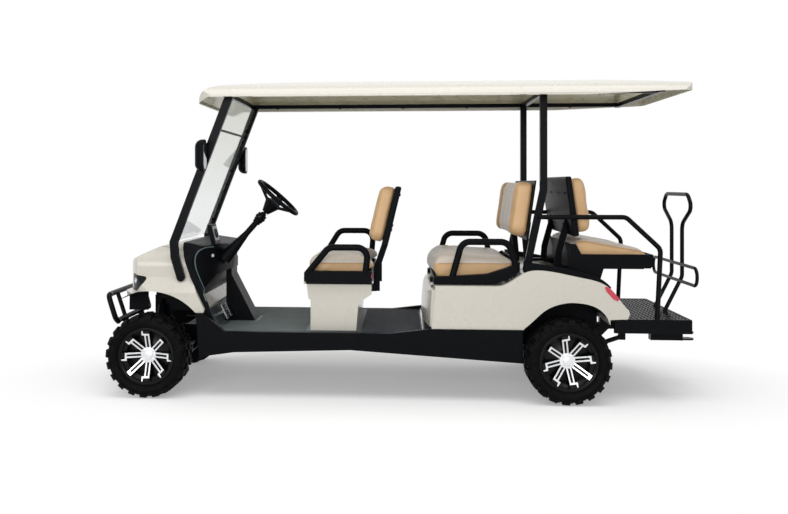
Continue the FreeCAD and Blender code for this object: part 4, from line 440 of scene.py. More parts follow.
def facing(place, normal, up=UP):
    """A placing whose Z is the normal and whose Y leans towards up."""
    normal = Vector(normal).normalized()
    up = Vector(up)
    if abs(normal.dot(up)) > 0.95:
        up = Vector((1.0, 0.0, 0.0))
    across = up.cross(normal).normalized()
    lift = normal.cross(across)
    turn = Matrix((across, lift, normal)).transposed().to_4x4()
    return Matrix.Translation(Vector(place)) @ turn


# radius and height, as shares of the bolt's radius
BOLT_WASHER = ((1.5, -0.1), (1.5, 0.15), (1.4, 0.22))
BOLT_HEAD = ((1.0, 0.0), (1.0, 0.75), (0.82, 0.95))


class Build:
    """Points and faces gathered for one mesh, with a material number for each face."""

    def __init__(self):
        self.verts = []
        self.faces = []
        self.kinds = []

    def add(self, verts, faces, kind=0):
        base = len(self.verts)
        self.verts += verts
        self.faces += [[base + index for index in face] for face in faces]
        self.kinds += [kind] * len(faces)

    def rings(self, rings, kind=0, closed=False, caps=True):
        """Joins rings of equal length with quads."""
        count = len(rings[0])
        verts = [point for ring in rings for point in ring]
        faces = []
        rows = len(rings)
        for row in range(rows if closed else rows - 1):
            after = (row + 1) % rows
            for index in range(count):
                turn = (index + 1) % count
                corners = ((row, index), (row, turn), (after, turn), (after, index))
                faces.append([place * count + corner for place, corner in corners])
        if caps and not closed:
            faces.append(list(range(count))[::-1])
            faces.append([(rows - 1) * count + index for index in range(count)])
        self.add(verts, faces, kind)

    def prism(self, place, outline, steps, kind=0):
        """An outline raised through (inset, height) steps; place takes (u, v, height) to the part."""
        rings = []
        for inset, height in steps:
            ring = drawn_in(outline, inset) if inset else outline
            rings.append([place(u, v, height) for u, v in ring])
        self.rings(rings, kind)

    def plate(self, matrix, outline, height, bevel, kind=0):
        """A flat piece with a bevelled top edge, standing on a placing's XY plane."""
        steps = ((0.0, 0.0), (0.0, height - bevel), (bevel, height))
        self.prism(lambda u, v, h: matrix @ Vector((u, v, h)), outline, steps, kind)

    def turned(self, matrix, profile, sides=24, kind=0):
        """A round piece about a placing's Z from (radius, height) pairs."""
        rings = []
        for radius, height in profile:
            flat = [(radius * math.cos(a), radius * math.sin(a)) for a in angles(sides)]
            rings.append([matrix @ Vector((u, v, height)) for u, v in flat])
        self.rings(rings, kind)

    def tube(self, points, radius, sides=10):
        """A round bar along points."""
        points = [Vector(point) for point in points]
        normal = None
        rings = []
        for index, point in enumerate(points):
            before = points[max(index - 1, 0)]
            after = points[min(index + 1, len(points) - 1)]
            way = (after - before).normalized()
            normal = normal or way.orthogonal()
            normal = (normal - way * normal.dot(way)).normalized()
            cross = way.cross(normal)
            ways = [normal * math.cos(a) + cross * math.sin(a) for a in angles(sides)]
            rings.append([point + out * radius for out in ways])
        self.rings(rings)

    def bolt(self, place, normal, radius, kind=0):
        """A washer and a chamfered hexagon head."""
        matrix = facing(place, normal)
        for profile, sides in (BOLT_WASHER, 16), (BOLT_HEAD, 6):
            self.turned(matrix, [(radius * r, radius * h) for r, h in profile], sides, kind)

    def piece(self, name, slot="black_plastic", body="chassis", materials=None, angle_deg=35.0):
        """Makes the mesh; without materials it takes its slot's."""
        made = meshed(name, self.verts, self.faces)
        mesh = made.data
        for material in materials or (MATERIALS[slot],):
            mesh.materials.append(material)
        mesh.polygons.foreach_set("material_index", self.kinds)
        edit = bmesh.new()
        edit.from_mesh(mesh)
        bmesh.ops.recalc_face_normals(edit, faces=edit.faces)
        edit.to_mesh(mesh)
        edit.free()
        smooth(mesh, angle_deg)
        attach(made, body)
        return made


# Seats: two-tone padded vinyl, swollen by a cloth simulation
PAD_VOXEL = 0.0095
PAD_SHRINK = 0.006
PAD_SWELL = 0.016
PAD_PRESSURE = 4.0
PAD_FRAMES = 20
PAD_HALF_WIDTH = 0.482
PAD_LAYERS = 6
PAD_GAP = 0.0005
SEAM_DEPTH = 0.006
SEAM_HALF = 0.0015
PIPING_RADIUS = 0.0028
PIPING_LIFT = 0.00112
PIPING_STEPS = 60
CUSHION_BORDER_Y = 0.44
BACK_BORDER_Y = 0.345
ROLL_HEIGHT = 0.014
ARM_INNER_Y = 0.4875
RAY_REACH = 2.0


def pad_rings(outline, half, edge, place):
    """A closed pad raised through rounded rims, from -half to half along its third axis."""
    steps = []
    for layer in range(PAD_LAYERS + 1):
        angle = math.pi / 2 * layer / PAD_LAYERS
        steps.append((edge * (1 - math.sin(angle)), -half + edge * (1 - math.cos(angle))))
    steps += [(inset, -height) for inset, height in reversed(steps)]
    pad = Build()
    pad.prism(place, outline, steps)
    return pad


def swell(piece):
    """Remeshes the pad, blows it up a little with the cloth solver and keeps each point within the cap."""
    remesh = piece.modifiers.new("even", "REMESH")
    remesh.mode = "VOXEL"
    remesh.voxel_size = PAD_VOXEL
    apply_modifiers(piece)
    rest = [vertex.co.copy() for vertex in piece.data.vertices]
    cloth = piece.modifiers.new("air", "CLOTH")
    cloth.settings.use_pressure = True
    cloth.settings.uniform_pressure_force = PAD_PRESSURE
    cloth.settings.effector_weights.gravity = 0.0
    cloth.point_cache.frame_start = 1
    cloth.point_cache.frame_end = PAD_FRAMES
    scene = bpy.context.scene
    for step in range(1, PAD_FRAMES + 1):
        scene.frame_set(step)
    apply_modifiers(piece)
    for vertex, start in zip(piece.data.vertices, rest):
        move = vertex.co - start
        if move.length > PAD_SWELL:
            vertex.co = start + move.normalized() * PAD_SWELL
    scene.frame_set(1)


def subdivided(piece):
    piece.modifiers.new("fine", "SUBSURF").levels = 1
    apply_modifiers(piece)


def groove(distance):
    return math.exp(-((distance / (PAD_VOXEL * 0.75)) ** 2))


def soft_step(value, low, high):
    share = max(0.0, min(1.0, (value - low) / (high - low)))
    return share * share * (3 - 2 * share)


def finished_pad(name, node, body, build, shape, material, place, rays, ends):
    """Swells, shapes and dresses a pad that stands for a plain node, and sews piping along its border."""
    piece = meshed(name, build.verts, build.faces)
    swell(piece)
    for vertex in piece.data.vertices:
        vertex.co = shape(*vertex.co)
    subdivided(piece)
    mesh = piece.data
    tree = face_tree(mesh)
    piping = Build()
    for side in (-1, 1):
        line = []
        for step in range(PIPING_STEPS + 1):
            along = ends[0] + (ends[1] - ends[0]) * step / PIPING_STEPS
            start, way = rays(along, side)
            found = tree.ray_cast(Vector(start), Vector(way))[0]
            if found is not None:
                line.append(place @ (found - Vector(way) * PIPING_LIFT))
        piping.tube(line, PIPING_RADIUS, 8)
    piping.piece(name + "_piping", "seat_cover", body=body, materials=(PIPING,))
    mesh.transform(place)
    mesh.materials.clear()
    mesh.materials.append(material)
    smooth(mesh, 180.0)
    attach(piece, body)
    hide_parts(node)


def level(points, x):
    """The height of a line of (x, z) points at a place along it."""
    for (x_low, z_low), (x_high, z_high) in zip(points, points[1:]):
        if x <= x_high:
            return z_low + (z_high - z_low) * max(0.0, (x - x_low) / (x_high - x_low))
    return points[-1][1]


# node, body, outline of (x, z), tray floor, tray rim, tan border height, ends in the tray,
# cross seams, reach of the bowed nose
CUSHIONS = (
    (
        "front_seat_cushion", "front_bench",
        ((-0.650, 0.777), (-0.228, 0.777), (-0.226, 0.860), (-0.232, 0.920), (-0.262, 0.934),
         (-0.450, 0.946), (-0.600, 0.958), (-0.648, 0.940), (-0.660, 0.890)),
        ((-0.658, 0.771), (-0.220, 0.771)), 0.85, 0.898, (-0.654, -0.222), (-0.50,), 0.0,
    ),
    (
        "middle_seat_cushion", "middle_bench",
        ((0.216, 0.780), (0.577, 0.783), (0.690, 0.814), (0.760, 0.868), (0.764, 0.905), (0.745, 0.934),
         (0.560, 0.944), (0.330, 0.960), (0.232, 0.955), (0.200, 0.915), (0.196, 0.860)),
        ((0.210, 0.773), (0.577, 0.776), (0.694, 0.808), (0.770, 0.865)),
        0.83, 0.902, (0.214, 0.766), (0.36,), 0.045,
    ),
    (
        "rear_seat_cushion", "chassis",
        ((1.124, 0.895), (1.560, 0.895), (1.638, 0.902), (1.645, 0.950), (1.628, 0.985), (1.560, 1.004),
         (1.420, 1.030), (1.240, 1.062), (1.150, 1.068), (1.124, 1.040)),
        ((1.118, 0.889), (1.646, 0.889)), 0.975, None, (1.122, 1.642), (1.44,), 0.0,
    ),
)
CUSHION_EDGE = 0.030
EAR_REACH = 0.045
EAR_TOP_Z = 0.975
NOSE_LENGTH = 0.12
RIM_GAP = 0.006


def cushion(node, body, outline, floor, rim_z, border_z, ends, seams, bow):
    """A seat cushion, with ears behind the arms on the front one, where the photograph shows them."""

    def place(u, v, h):
        return Vector((u, h, v))

    def shape(x, y, z):
        """Sews the top, bows the nose and keeps what lies in the tray clear of its walls and floor."""
        top = soft_step(z, rim_z, rim_z + 0.03)
        press = 0.0 if border_z else groove(abs(y) - CUSHION_BORDER_Y)
        if abs(y) < CUSHION_BORDER_Y:
            press = max([press, groove(abs(y) - CUSHION_BORDER_Y / 3)] + [groove(x - seam) for seam in seams])
        z -= press * SEAM_DEPTH * top
        near = soft_step(ends[0] + NOSE_LENGTH - x, 0.0, NOSE_LENGTH)
        nose = near * max(0.0, 1 - (y / PAD_HALF_WIDTH) ** 2)
        x -= bow * nose * top
        if body == "front_bench":
            ear = soft_step(abs(y), 0.33, 0.39) * soft_step(x, -0.32, -0.23)
            x += EAR_REACH * ear * top * soft_step(EAR_TOP_Z - z, 0.0, 0.04)
        side = ARM_INNER_Y if z > rim_z + RIM_GAP else PAD_HALF_WIDTH - PAD_GAP
        y = max(-side, min(side, y))
        if z < rim_z + RIM_GAP:
            x = max(ends[0], min(ends[1], x))
        return Vector((x, y, max(z, level(floor, x))))

    def rays(along, side):
        if border_z:
            return (along, side * RAY_REACH, border_z), (0.0, -side, 0.0)
        return (along, side * CUSHION_BORDER_Y, RAY_REACH), DOWN

    section = rounded(drawn_in(list(outline), PAD_SHRINK))
    build = pad_rings(section, PAD_HALF_WIDTH - PAD_SHRINK, CUSHION_EDGE, place)
    reach = (ends[0] + CUSHION_EDGE, ends[1] - CUSHION_EDGE)
    vinyl = seat_vinyl(node + "_vinyl", CUSHION_BORDER_Y, border_z)
    finished_pad(node + "_pad", node, body, build, shape, vinyl, Matrix.Identity(4), rays, reach)


# node, lean, thickness, height, how far the panel stands proud
BACKS = (
    ("front_seat_back", 13.5, 0.060, 0.415, 0.016),
    ("middle_seat_back", 8.1, 0.050, 0.405, 0.040),
    ("rear_seat_back", -7.7, 0.054, 0.402, 0.016),
)
BACK_CORNER = 0.07
BACK_EDGE = 0.020


def corner_rounded(length, width, corner, steps=6):
    points = []
    for quarter, (sign_u, sign_v) in enumerate(((1, 1), (-1, 1), (-1, -1), (1, -1))):
        for step in range(steps + 1):
            angle = math.pi / 2 * (quarter + step / steps)
            u = sign_u * (length / 2 - corner) + corner * math.cos(angle)
            v = sign_v * (width / 2 - corner) + corner * math.sin(angle)
            points.append((u, v))
    return points


def backrest(node, lean_deg, thickness, height, proud):
    """A back pad built lying flat, then stood up and leaned like its plain node."""

    def place(u, v, h):
        return Vector((u, v, h))

    def shape(x, y, z):
        """Swells the side rolls, sews the panel and keeps the resting side flat."""
        face = soft_step(z, -thickness * 0.1, thickness * 0.3)
        near_edge = soft_step(abs(y), PAD_HALF_WIDTH - 0.05, PAD_HALF_WIDTH)
        roll = soft_step(abs(y), BACK_BORDER_Y, BACK_BORDER_Y + 0.03) * (1 - near_edge * 0.5)
        ends = soft_step(height / 2 - abs(x), 0.0, 0.05)
        press = groove(abs(y) - BACK_BORDER_Y)
        if abs(y) < BACK_BORDER_Y:
            press = max([press, groove(abs(y) - BACK_BORDER_Y / 3), groove(x - height * 0.22)])
        z += (roll * ROLL_HEIGHT * ends - press * SEAM_DEPTH + proud) * face
        return Vector((x, y, max(z, -thickness / 2 + PAD_GAP)))

    low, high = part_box(node)
    outline = corner_rounded(height - PAD_SHRINK * 2, (PAD_HALF_WIDTH - PAD_SHRINK) * 2, BACK_CORNER)
    build = pad_rings(outline, (thickness - PAD_SHRINK) / 2, BACK_EDGE, place)
    turn = Matrix.Rotation(math.radians(lean_deg), 4, "Y")
    stand = Matrix.Rotation(math.radians(90.0 if lean_deg < 0 else -90.0), 4, "Y")
    matrix = Matrix.Translation((low + high) / 2) @ turn @ stand

    def rays(along, side):
        return (along, side * BACK_BORDER_Y, RAY_REACH), DOWN

    reach = (-height / 2 + BACK_EDGE, height / 2 - BACK_EDGE)
    finished_pad(node + "_pad", node, "chassis", build, shape, BACK_VINYL, matrix, rays, reach)


# Wheels
WHEELS = (
    ("front_left", -1, 225.0),
    ("front_right", 1, 225.0),
    ("rear_left", -1, 325.0),
    ("rear_right", 1, 325.0),
)
TYRE_RADIUS = 0.2795
WHEEL_STEPS = 100
PITCHES = 20
# sections of the tyre as (radius, distance from its middle)
CARCASS = (
    (0.1786, 0.0885), (0.1860, 0.0895), (0.1940, 0.0900), (0.1955, 0.0975), (0.1990, 0.1035),
    (0.2030, 0.1040), (0.2050, 0.1075), (0.2150, 0.1135), (0.2240, 0.1155), (0.2260, 0.1172),
    (0.2300, 0.1172), (0.2320, 0.1152), (0.2420, 0.1140), (0.2520, 0.1085), (0.2590, 0.0990),
    (0.2635, 0.0880), (0.2655, 0.0600), (0.2660, 0.0),
)
INNER_WALL = ((0.2520, 0.0), (0.2500, 0.0700), (0.2400, 0.1000), (0.2150, 0.1010), (0.1950, 0.0820))
LUG_OUTER = (
    (0.2795, 0.048), (0.2795, 0.082), (0.2780, 0.094), (0.2735, 0.1045),
    (0.2650, 0.1130), (0.2540, 0.1178), (0.2440, 0.1178),
)
LUG_INNER = (
    (0.2630, 0.048), (0.2630, 0.080), (0.2610, 0.088), (0.2570, 0.096),
    (0.2500, 0.1040), (0.2420, 0.1085), (0.2400, 0.1100),
)
LUG_SHARES = (0.48, 0.52, 0.56, 0.58, 0.58, 0.56, 0.50)
LUG_LEAN = 0.10
LUG_TOP_SHARE = 0.9
CENTRE_TURN = 0.42
CENTRE_BLOCK = ((-0.31, 0.005), (0.17, 0.005), (0.31, 0.024), (0.23, 0.0435), (-0.25, 0.0435), (-0.37, 0.024))
CENTRE_STEPS = ((0.0, 0.2630), (0.0, 0.2772), (0.0022, 0.2795))


def around(centre, side):
    """Takes (turn angle, radius, distance outwards) to a wheel's place."""
    def place(angle, radius, out):
        return centre + Vector((radius * math.cos(angle), side * out, radius * math.sin(angle)))
    return place


def tyre(wheel, centre):
    """A tyre whose shoulder lugs and centre blocks stand half a pitch apart from side to side."""
    place = around(centre, 1)
    section = list(CARCASS) + [(radius, -y) for radius, y in reversed(CARCASS[:-1])]
    section += [(radius, -y) for radius, y in reversed(INNER_WALL)] + list(INNER_WALL[1:])
    build = Build()
    build.rings([[place(a, radius, y) for radius, y in section] for a in angles(WHEEL_STEPS)], closed=True)
    pitch = 2 * math.pi / PITCHES
    for half in (-1, 1):
        row = around(centre, half)
        for index in range(PITCHES):
            turn = pitch * (index + (0.25 if half > 0 else 0.75))
            length = len(LUG_OUTER) - index % 2
            rings = []
            for station in range(length):
                lean = turn + pitch * LUG_LEAN * station / length
                reach = pitch * LUG_SHARES[station] / 2
                outer = LUG_OUTER[station]
                inner = LUG_INNER[station]
                rings.append([
                    row(lean - reach, *inner),
                    row(lean - reach * LUG_TOP_SHARE, *outer),
                    row(lean + reach * LUG_TOP_SHARE, *outer),
                    row(lean + reach, *inner),
                ])
            build.rings(rings)
            middle = turn + pitch * CENTRE_TURN
            outline = [(share * pitch * TYRE_RADIUS, y) for share, y in CENTRE_BLOCK]
            build.prism(lambda u, v, h: row(middle + u / TYRE_RADIUS, h, v), outline, CENTRE_STEPS)
    piece = build.piece("tyre_" + wheel + "_tread", "tyre_rubber", body="wheel_" + wheel, angle_deg=30.0)
    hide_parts("tyre_" + wheel)


BARREL = (
    (0.1920, 0.0950), (0.1912, 0.0975), (0.1895, 0.0980), (0.1876, 0.0968), (0.1860, 0.0900),
    (0.1780, 0.0830), (0.1715, 0.0800), (0.1700, 0.0620), (0.1490, 0.0430),
)
BARREL_BACK = ((0.1545, 0.0490), (0.1783, 0.0686), (0.1783, 0.0880), (0.1885, 0.0915))
HUB_OUT = 0.032
SPOKE_FOOT = 0.037
SPOKE_TIP = 0.172
SPOKE_SLOPE = (0.090 - HUB_OUT) / (SPOKE_TIP - SPOKE_FOOT)
SPOKE_HALF = 0.018
SLOT_HALF = 0.0068
SPOKE_END = 0.150
HOOK_REACH = 0.036
HOOK_WIDTH = 0.014
SPOKE_COUNT = 8
DISH_SIDES = 48
HUB_SIDES = 40
NUT_COUNT = 4
NUT_LIFT = 0.006
NUT_CIRCLE = 0.043
NUT_RADIUS = 0.0075
# turned parts of the rim as (radius, height over the hub's face)
RIM_DISH = (
    (0.1505, -0.034), (0.1505, -0.028), (0.080, -0.027), (0.066, -0.020), (0.062, -0.002), (0.060, 0.0),
)
HUB_FLANGE = ((0.052, -0.002), (0.052, 0.003), (0.050, 0.005), (0.036, 0.007))
HUB_CAP = ((0.031, 0.005), (0.031, 0.015), (0.029, 0.0185), (0.022, 0.0205), (0.004, 0.0215))
# the valve's outline along its own slanted axis, and its place out from and below the wheel's middle
VALVE_OUT = 0.080
VALVE_DROP = 0.158
VALVE_SLANT = 0.25
VALVE = ((0.004, -0.008), (0.004, 0.012), (0.003, 0.014), (0.003, 0.022))
# inset and height of the spokes' backs and faces
SLAB_STEPS = ((0.0, -0.017), (0.0, -0.0065), (0.001, -0.0055))
FACE_STEPS = ((0.0, -0.0060), (0.0, -0.0012), (0.0012, 0.0))


def spoke_outline(index):
    """The face of a spoke: a slotted bar, closed at its tip, six of the eight with a hook."""
    foot = SPOKE_FOOT + 0.006
    if index in (0, 4):
        tip = SPOKE_TIP if index == 0 else SPOKE_END
        inner = tip - HOOK_WIDTH * (1.5 if index == 0 else 1.0)
        return [
            (SPOKE_HALF, foot), (SPOKE_HALF, tip), (-SPOKE_HALF, tip), (-SPOKE_HALF, foot),
            (-SLOT_HALF, foot), (-SLOT_HALF, inner), (SLOT_HALF, inner), (SLOT_HALF, foot),
        ]
    inner = SPOKE_END - HOOK_WIDTH
    points = [
        (SPOKE_HALF, foot), (SPOKE_HALF, inner), (HOOK_REACH, inner + 0.002),
        (HOOK_REACH - 0.002, SPOKE_TIP - 0.004), (HOOK_REACH - HOOK_WIDTH * 0.7, SPOKE_TIP),
        (HOOK_REACH - HOOK_WIDTH, SPOKE_END), (-SPOKE_HALF, SPOKE_END), (-SPOKE_HALF, foot),
        (-SLOT_HALF, foot), (-SLOT_HALF, inner), (SLOT_HALF, inner), (SLOT_HALF, foot),
    ]
    if index < 4:
        points = [(-u, v) for u, v in reversed(points)]
    return points


def rim(wheel, side, heading_deg, centre):
    """A black barrel and dish with bright hub, nuts and spokes; the first spoke points along the heading."""
    place = around(centre, side)
    section = list(BARREL) + [(radius, -y) for radius, y in reversed(BARREL)]
    section += [(radius, -y) for radius, y in BARREL_BACK[::-1]] + list(BARREL_BACK)
    build = Build()
    build.rings([[place(a, radius, y) for radius, y in section] for a in angles(WHEEL_STEPS)], closed=True)
    out = facing(centre + Vector((0.0, side * HUB_OUT, 0.0)), (0.0, side, 0.0))
    build.turned(out, RIM_DISH, DISH_SIDES)
    build.turned(out, HUB_FLANGE, HUB_SIDES, 1)
    build.turned(out, HUB_CAP, HUB_SIDES, 1)
    for a in angles(NUT_COUNT, math.pi / 4):
        nut = place(a, NUT_CIRCLE, HUB_OUT + NUT_LIFT)
        build.bolt(nut, (0.0, side, 0.0), NUT_RADIUS, 1)
    for index in range(SPOKE_COUNT):
        turn = math.radians(90.0 - heading_deg + 360.0 / SPOKE_COUNT * index)
        across = Vector((math.cos(turn), 0.0, -math.sin(turn)))
        along = Vector((math.sin(turn), 0.0, math.cos(turn)))

        def spoke_place(u, v, h):
            out_by = side * (HUB_OUT + (v - SPOKE_FOOT) * SPOKE_SLOPE + h)
            return centre + across * u + along * v + Vector((0.0, out_by, 0.0))

        face = spoke_outline(index)
        tip = max(v for _, v in face)
        slab = [(SPOKE_HALF, SPOKE_FOOT), (SPOKE_HALF, tip), (-SPOKE_HALF, tip), (-SPOKE_HALF, SPOKE_FOOT)]
        build.prism(spoke_place, slab, SLAB_STEPS)
        build.prism(spoke_place, face, FACE_STEPS, 1)
    valve = facing(centre + Vector((0.0, side * VALVE_OUT, -VALVE_DROP)), (0.0, side, VALVE_SLANT))
    build.turned(valve, VALVE, 12)
    materials = (MATERIALS["rim_alloy"], MACHINED)
    name = "rim_" + wheel + "_face"
    piece = build.piece(name, "rim_alloy", body="wheel_" + wheel, materials=materials, angle_deg=30.0)
    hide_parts("rim_" + wheel)


def wheels():
    for wheel, side, heading_deg in WHEELS:
        low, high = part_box("tyre_" + wheel)
        centre = (low + high) / 2
        tyre(wheel, centre)
        rim(wheel, side, heading_deg, centre)


# Floor, deck and their trims
FLOOR_Z = 0.445
DECK_Z = 0.545
RIB_PITCH = 0.03
RIBS_A_SIDE = 18
RIB_SPLIT = 0.005
TOE_X = -1.255
CONSOLE_REAR_X = -1.05
CONSOLE_HALF = 0.13
BASE_FRONT_X = -0.665
BASE_REAR_X = -0.285
BASE_HALF = 0.51
BODY_X = 0.12
STUD_START_Y = -0.51
STUD_PITCH = 0.17
STUD = ((0.005, 0.0), (0.005, 0.001), (0.003, 0.0025))
STRIP_X = 0.140
TREAD_PITCH = 0.031
TREAD_START = (1.49, -0.5115)
TREAD_ROWS = 13
TREAD_COLUMNS = 34
# x, y, length and width of the beads round the deck
DECK_BEADS = ((1.884, 0.0, 0.010, 1.07), (1.68, -0.534, 0.40, 0.010), (1.68, 0.534, 0.40, 0.010))
SUNK = 0.0003


def floor_ribs():
    """Raised ribs along the floor mat, clear of the seat base and the console."""
    build = Build()
    for index in range(-RIBS_A_SIDE, RIBS_A_SIDE + 1):
        y = index * RIB_PITCH
        front_x = CONSOLE_REAR_X if abs(y) < CONSOLE_HALF else TOE_X
        base_x = BASE_REAR_X - RIB_SPLIT if abs(y) > BASE_HALF else BASE_FRONT_X
        for x_low, x_high in ((front_x, base_x), (BASE_REAR_X, BODY_X)):
            place = Matrix.Translation(((x_low + x_high) / 2, y, FLOOR_Z - 0.0005))
            build.plate(place, rectangle(x_high - x_low, 0.012), 0.004, 0.0015)
    build.piece("floor_ribs", "floor_rubber")


def floor_strip():
    """The bright edging across the floor at the foot of the rear body."""
    build = Build()
    place = Matrix.Translation((STRIP_X, 0.0, FLOOR_Z - 0.0005))
    build.plate(place, rectangle(0.018, 1.16), 0.006, 0.002)
    for index in range(7):
        matrix = Matrix.Translation((STRIP_X, STUD_START_Y + STUD_PITCH * index, FLOOR_Z + 0.005))
        build.turned(matrix, STUD, 12)
    build.piece("floor_strip", "bare_steel", materials=(MACHINED,))


def deck_tread():
    """Raised lozenges over the rear foot deck, and its edge bead."""
    build = Build()
    lozenge = [(-0.015, 0.0), (0.0, -0.0042), (0.015, 0.0), (0.0, 0.0042)]
    for row in range(TREAD_ROWS):
        for column in range(TREAD_COLUMNS):
            x = TREAD_START[0] + TREAD_PITCH * row
            y = TREAD_START[1] + TREAD_PITCH * column
            turn = Matrix.Rotation(math.radians(45.0 if (row + column) % 2 else -45.0), 4, "Z")
            build.plate(Matrix.Translation((x, y, DECK_Z - SUNK)) @ turn, lozenge, 0.0024, 0.001)
    for x, y, length, width in DECK_BEADS:
        build.plate(Matrix.Translation((x, y, DECK_Z - SUNK)), rectangle(length, width), 0.003, 0.001)
    build.piece("deck_tread", "black_steel")


MIRROR_Y = 0.615
MIRROR_Z = 1.632
# height, width and corner radius
MIRROR_RIM = (0.194, 0.098, 0.040)
MIRROR_GLASS = (0.180, 0.084, 0.034)
LAMP_X = -1.845
LAMP_Z = 0.772
LAMP_RADIUS = 0.019
# radius, as a share of the lamp's, and height
LAMP_BOWL = ((1.0, -0.004), (1.0, 0.003), (0.86, 0.004), (0.8, 0.0015))
LAMP_DOME = ((0.8, 0.001), (0.7, 0.005), (0.4, 0.008), (0.001 / LAMP_RADIUS, 0.009))


def mirror_faces():
    """Mirror glass in black rims on the rear faces of the housings."""
    hit = surface("mirrors")
    glasses = Build()
    rims = Build()
    for side in (-1, 1):
        face, _ = hit((-1.0, side * MIRROR_Y, MIRROR_Z), AHEAD)
        matrix = facing((face.x - 0.0005, side * MIRROR_Y, MIRROR_Z), REARWARD, (0.0, 1.0, 0.0))
        rims.plate(matrix, corner_rounded(*MIRROR_RIM), 0.002, 0.001)
        lifted = matrix @ Matrix.Translation((0.0, 0.0, 0.0012))
        glasses.plate(lifted, corner_rounded(*MIRROR_GLASS), 0.0018, 0.0008)
    rims.piece("mirror_rims")
    glasses.piece("mirror_glasses", "bare_steel", materials=(MIRROR,))


def lamps():
    """Reflector bowls with domed lenses on the headlamps' dark covers."""
    hit = surface("headlamps")
    bowls = Build()
    domes = Build()
    for side in (-1, 1):
        place, normal = hit((LAMP_X, side * SIDE_RAY_Y, LAMP_Z), (0.0, -side, 0.0))
        matrix = facing(place, normal)
        bowls.turned(matrix, [(LAMP_RADIUS * share, height) for share, height in LAMP_BOWL], 28)
        domes.turned(matrix, [(LAMP_RADIUS * share, height) for share, height in LAMP_DOME], 28)
    bowls.piece("headlamp_bowls", "bare_steel", materials=(MACHINED,))
    domes.piece("headlamp_domes", "lamp_lens", materials=(GLASS,), angle_deg=60.0)


BUMPER_TUBE = 0.0188
BUMPER_BEND = (
    (-2.0755, 0.352, 0.655), (-2.0715, 0.376, 0.650), (-2.062, 0.392, 0.625), (-2.042, 0.396, 0.565),
    (-2.022, 0.392, 0.500), (-2.011, 0.376, 0.475), (-2.0125, 0.352, 0.470),
)


def bumper_ends():
    """Bends that join the ends of the two bumper tubes."""
    build = Build()
    for side in (-1, 1):
        build.tube(curve_through([(x, side * y, z) for x, y, z in BUMPER_BEND]), BUMPER_TUBE, 16)
    build.piece("bumper_ends", "black_steel")


LINER_RADIUS = 0.4275
LINER_WALL = 0.003
LINER_INSIDE_Y = 0.335
FRONT_LINER_Y = 0.548
REAR_LINER_Y = 0.582
LINER_LOW_Z = 0.548
LINER_SPANS = ((30.0, 78.0), (100.0, 120.0))
LINER_STEPS = 10
REAR_LOW_Z = 0.405
REAR_ARCH = (
    (1.322, 0.570), (1.241, 0.6375), (1.165, 0.6545), (1.093, 0.6575),
    (1.020, 0.6445), (0.936, 0.6065), (0.866, 0.545),
)
FRONT_AXLE = (-1.725, TYRE_RADIUS)
REAR_AXLE = (1.075, TYRE_RADIUS)


def liner(build, side, arc, axle, low_z, outside_y):
    """A curved sheet along an arc of (x, z) over a wheel, and the wall that closes its inner side."""
    hub = Vector((axle[0], 0.0, axle[1]))
    rings = []
    wall = [(arc[-1][0], low_z), (arc[0][0], low_z)]
    for x, z in arc:
        outer = Vector((x, 0.0, z))
        inner = outer + (hub - outer).normalized() * LINER_WALL
        inside = Vector((0.0, side * LINER_INSIDE_Y, 0.0))
        outside = Vector((0.0, side * outside_y, 0.0))
        rings.append([outer + inside, outer + outside, inner + outside, inner + inside])
        wall.append((inner.x, inner.z))
    build.rings(rings)
    steps = ((0.0, 0.0), (0.0, LINER_WALL))
    build.prism(lambda u, v, h: Vector((u, side * (LINER_INSIDE_Y + h), v)), wall, steps)


def arch_liners():
    """Plastic linings over the wheels; over the front ones they leave room for the shock."""
    build = Build()
    for side in (-1, 1):
        for low, high in LINER_SPANS:
            turns = [math.radians(low + (high - low) * step / LINER_STEPS) for step in range(LINER_STEPS + 1)]
            arc = [
                (FRONT_AXLE[0] + LINER_RADIUS * math.cos(turn), FRONT_AXLE[1] + LINER_RADIUS * math.sin(turn))
                for turn in turns
            ]
            liner(build, side, arc, FRONT_AXLE, LINER_LOW_Z, FRONT_LINER_Y)
        liner(build, side, curve_through(REAR_ARCH, 3), REAR_AXLE, REAR_LOW_Z, REAR_LINER_Y)
    build.piece("arch_liners")


FOOT_PANEL = (
    (-1.372, 0.560), (-1.364, 0.560), (-1.392, 0.700), (-1.424, 0.868), (-1.434, 0.868), (-1.402, 0.700),
)
FOOT_PANEL_Y = 0.519
BODY_FRONT_Y = 0.560
BODY_FRONT_STEPS = 24
PANEL_BOW = 0.045
# x, share of the bow, z of the rear body's front skin, from its foot over its face to its top
BODY_FRONT = (
    (0.196, 0.0, 0.486), (0.186, 0.75, 0.486), (0.180, 1.0, 0.500), (0.184, 1.0, 0.610),
    (0.190, 0.9, 0.705), (0.194, 0.75, 0.728), (0.200, 0.5, 0.734), (0.214, 0.0, 0.734),
)


def foot_panel():
    """The dark inner panel between the toe board and the dash."""
    build = Build()
    steps = ((0.0, -FOOT_PANEL_Y), (0.0, FOOT_PANEL_Y))
    build.prism(lambda u, v, h: Vector((u, h, v)), FOOT_PANEL, steps)
    build.piece("foot_panel")


def rear_body_front():
    """The bowed front skin of the rear body."""
    build = Build()
    rings = []
    for step in range(BODY_FRONT_STEPS + 1):
        y = BODY_FRONT_Y * (2 * step / BODY_FRONT_STEPS - 1)
        bow = PANEL_BOW * (1 - (y / BODY_FRONT_Y) ** 4)
        rings.append([Vector((x - bow * share, y, z)) for x, share, z in BODY_FRONT])
    build.rings(rings)
    build.piece("rear_body_front", "ivory_body", angle_deg=50.0)


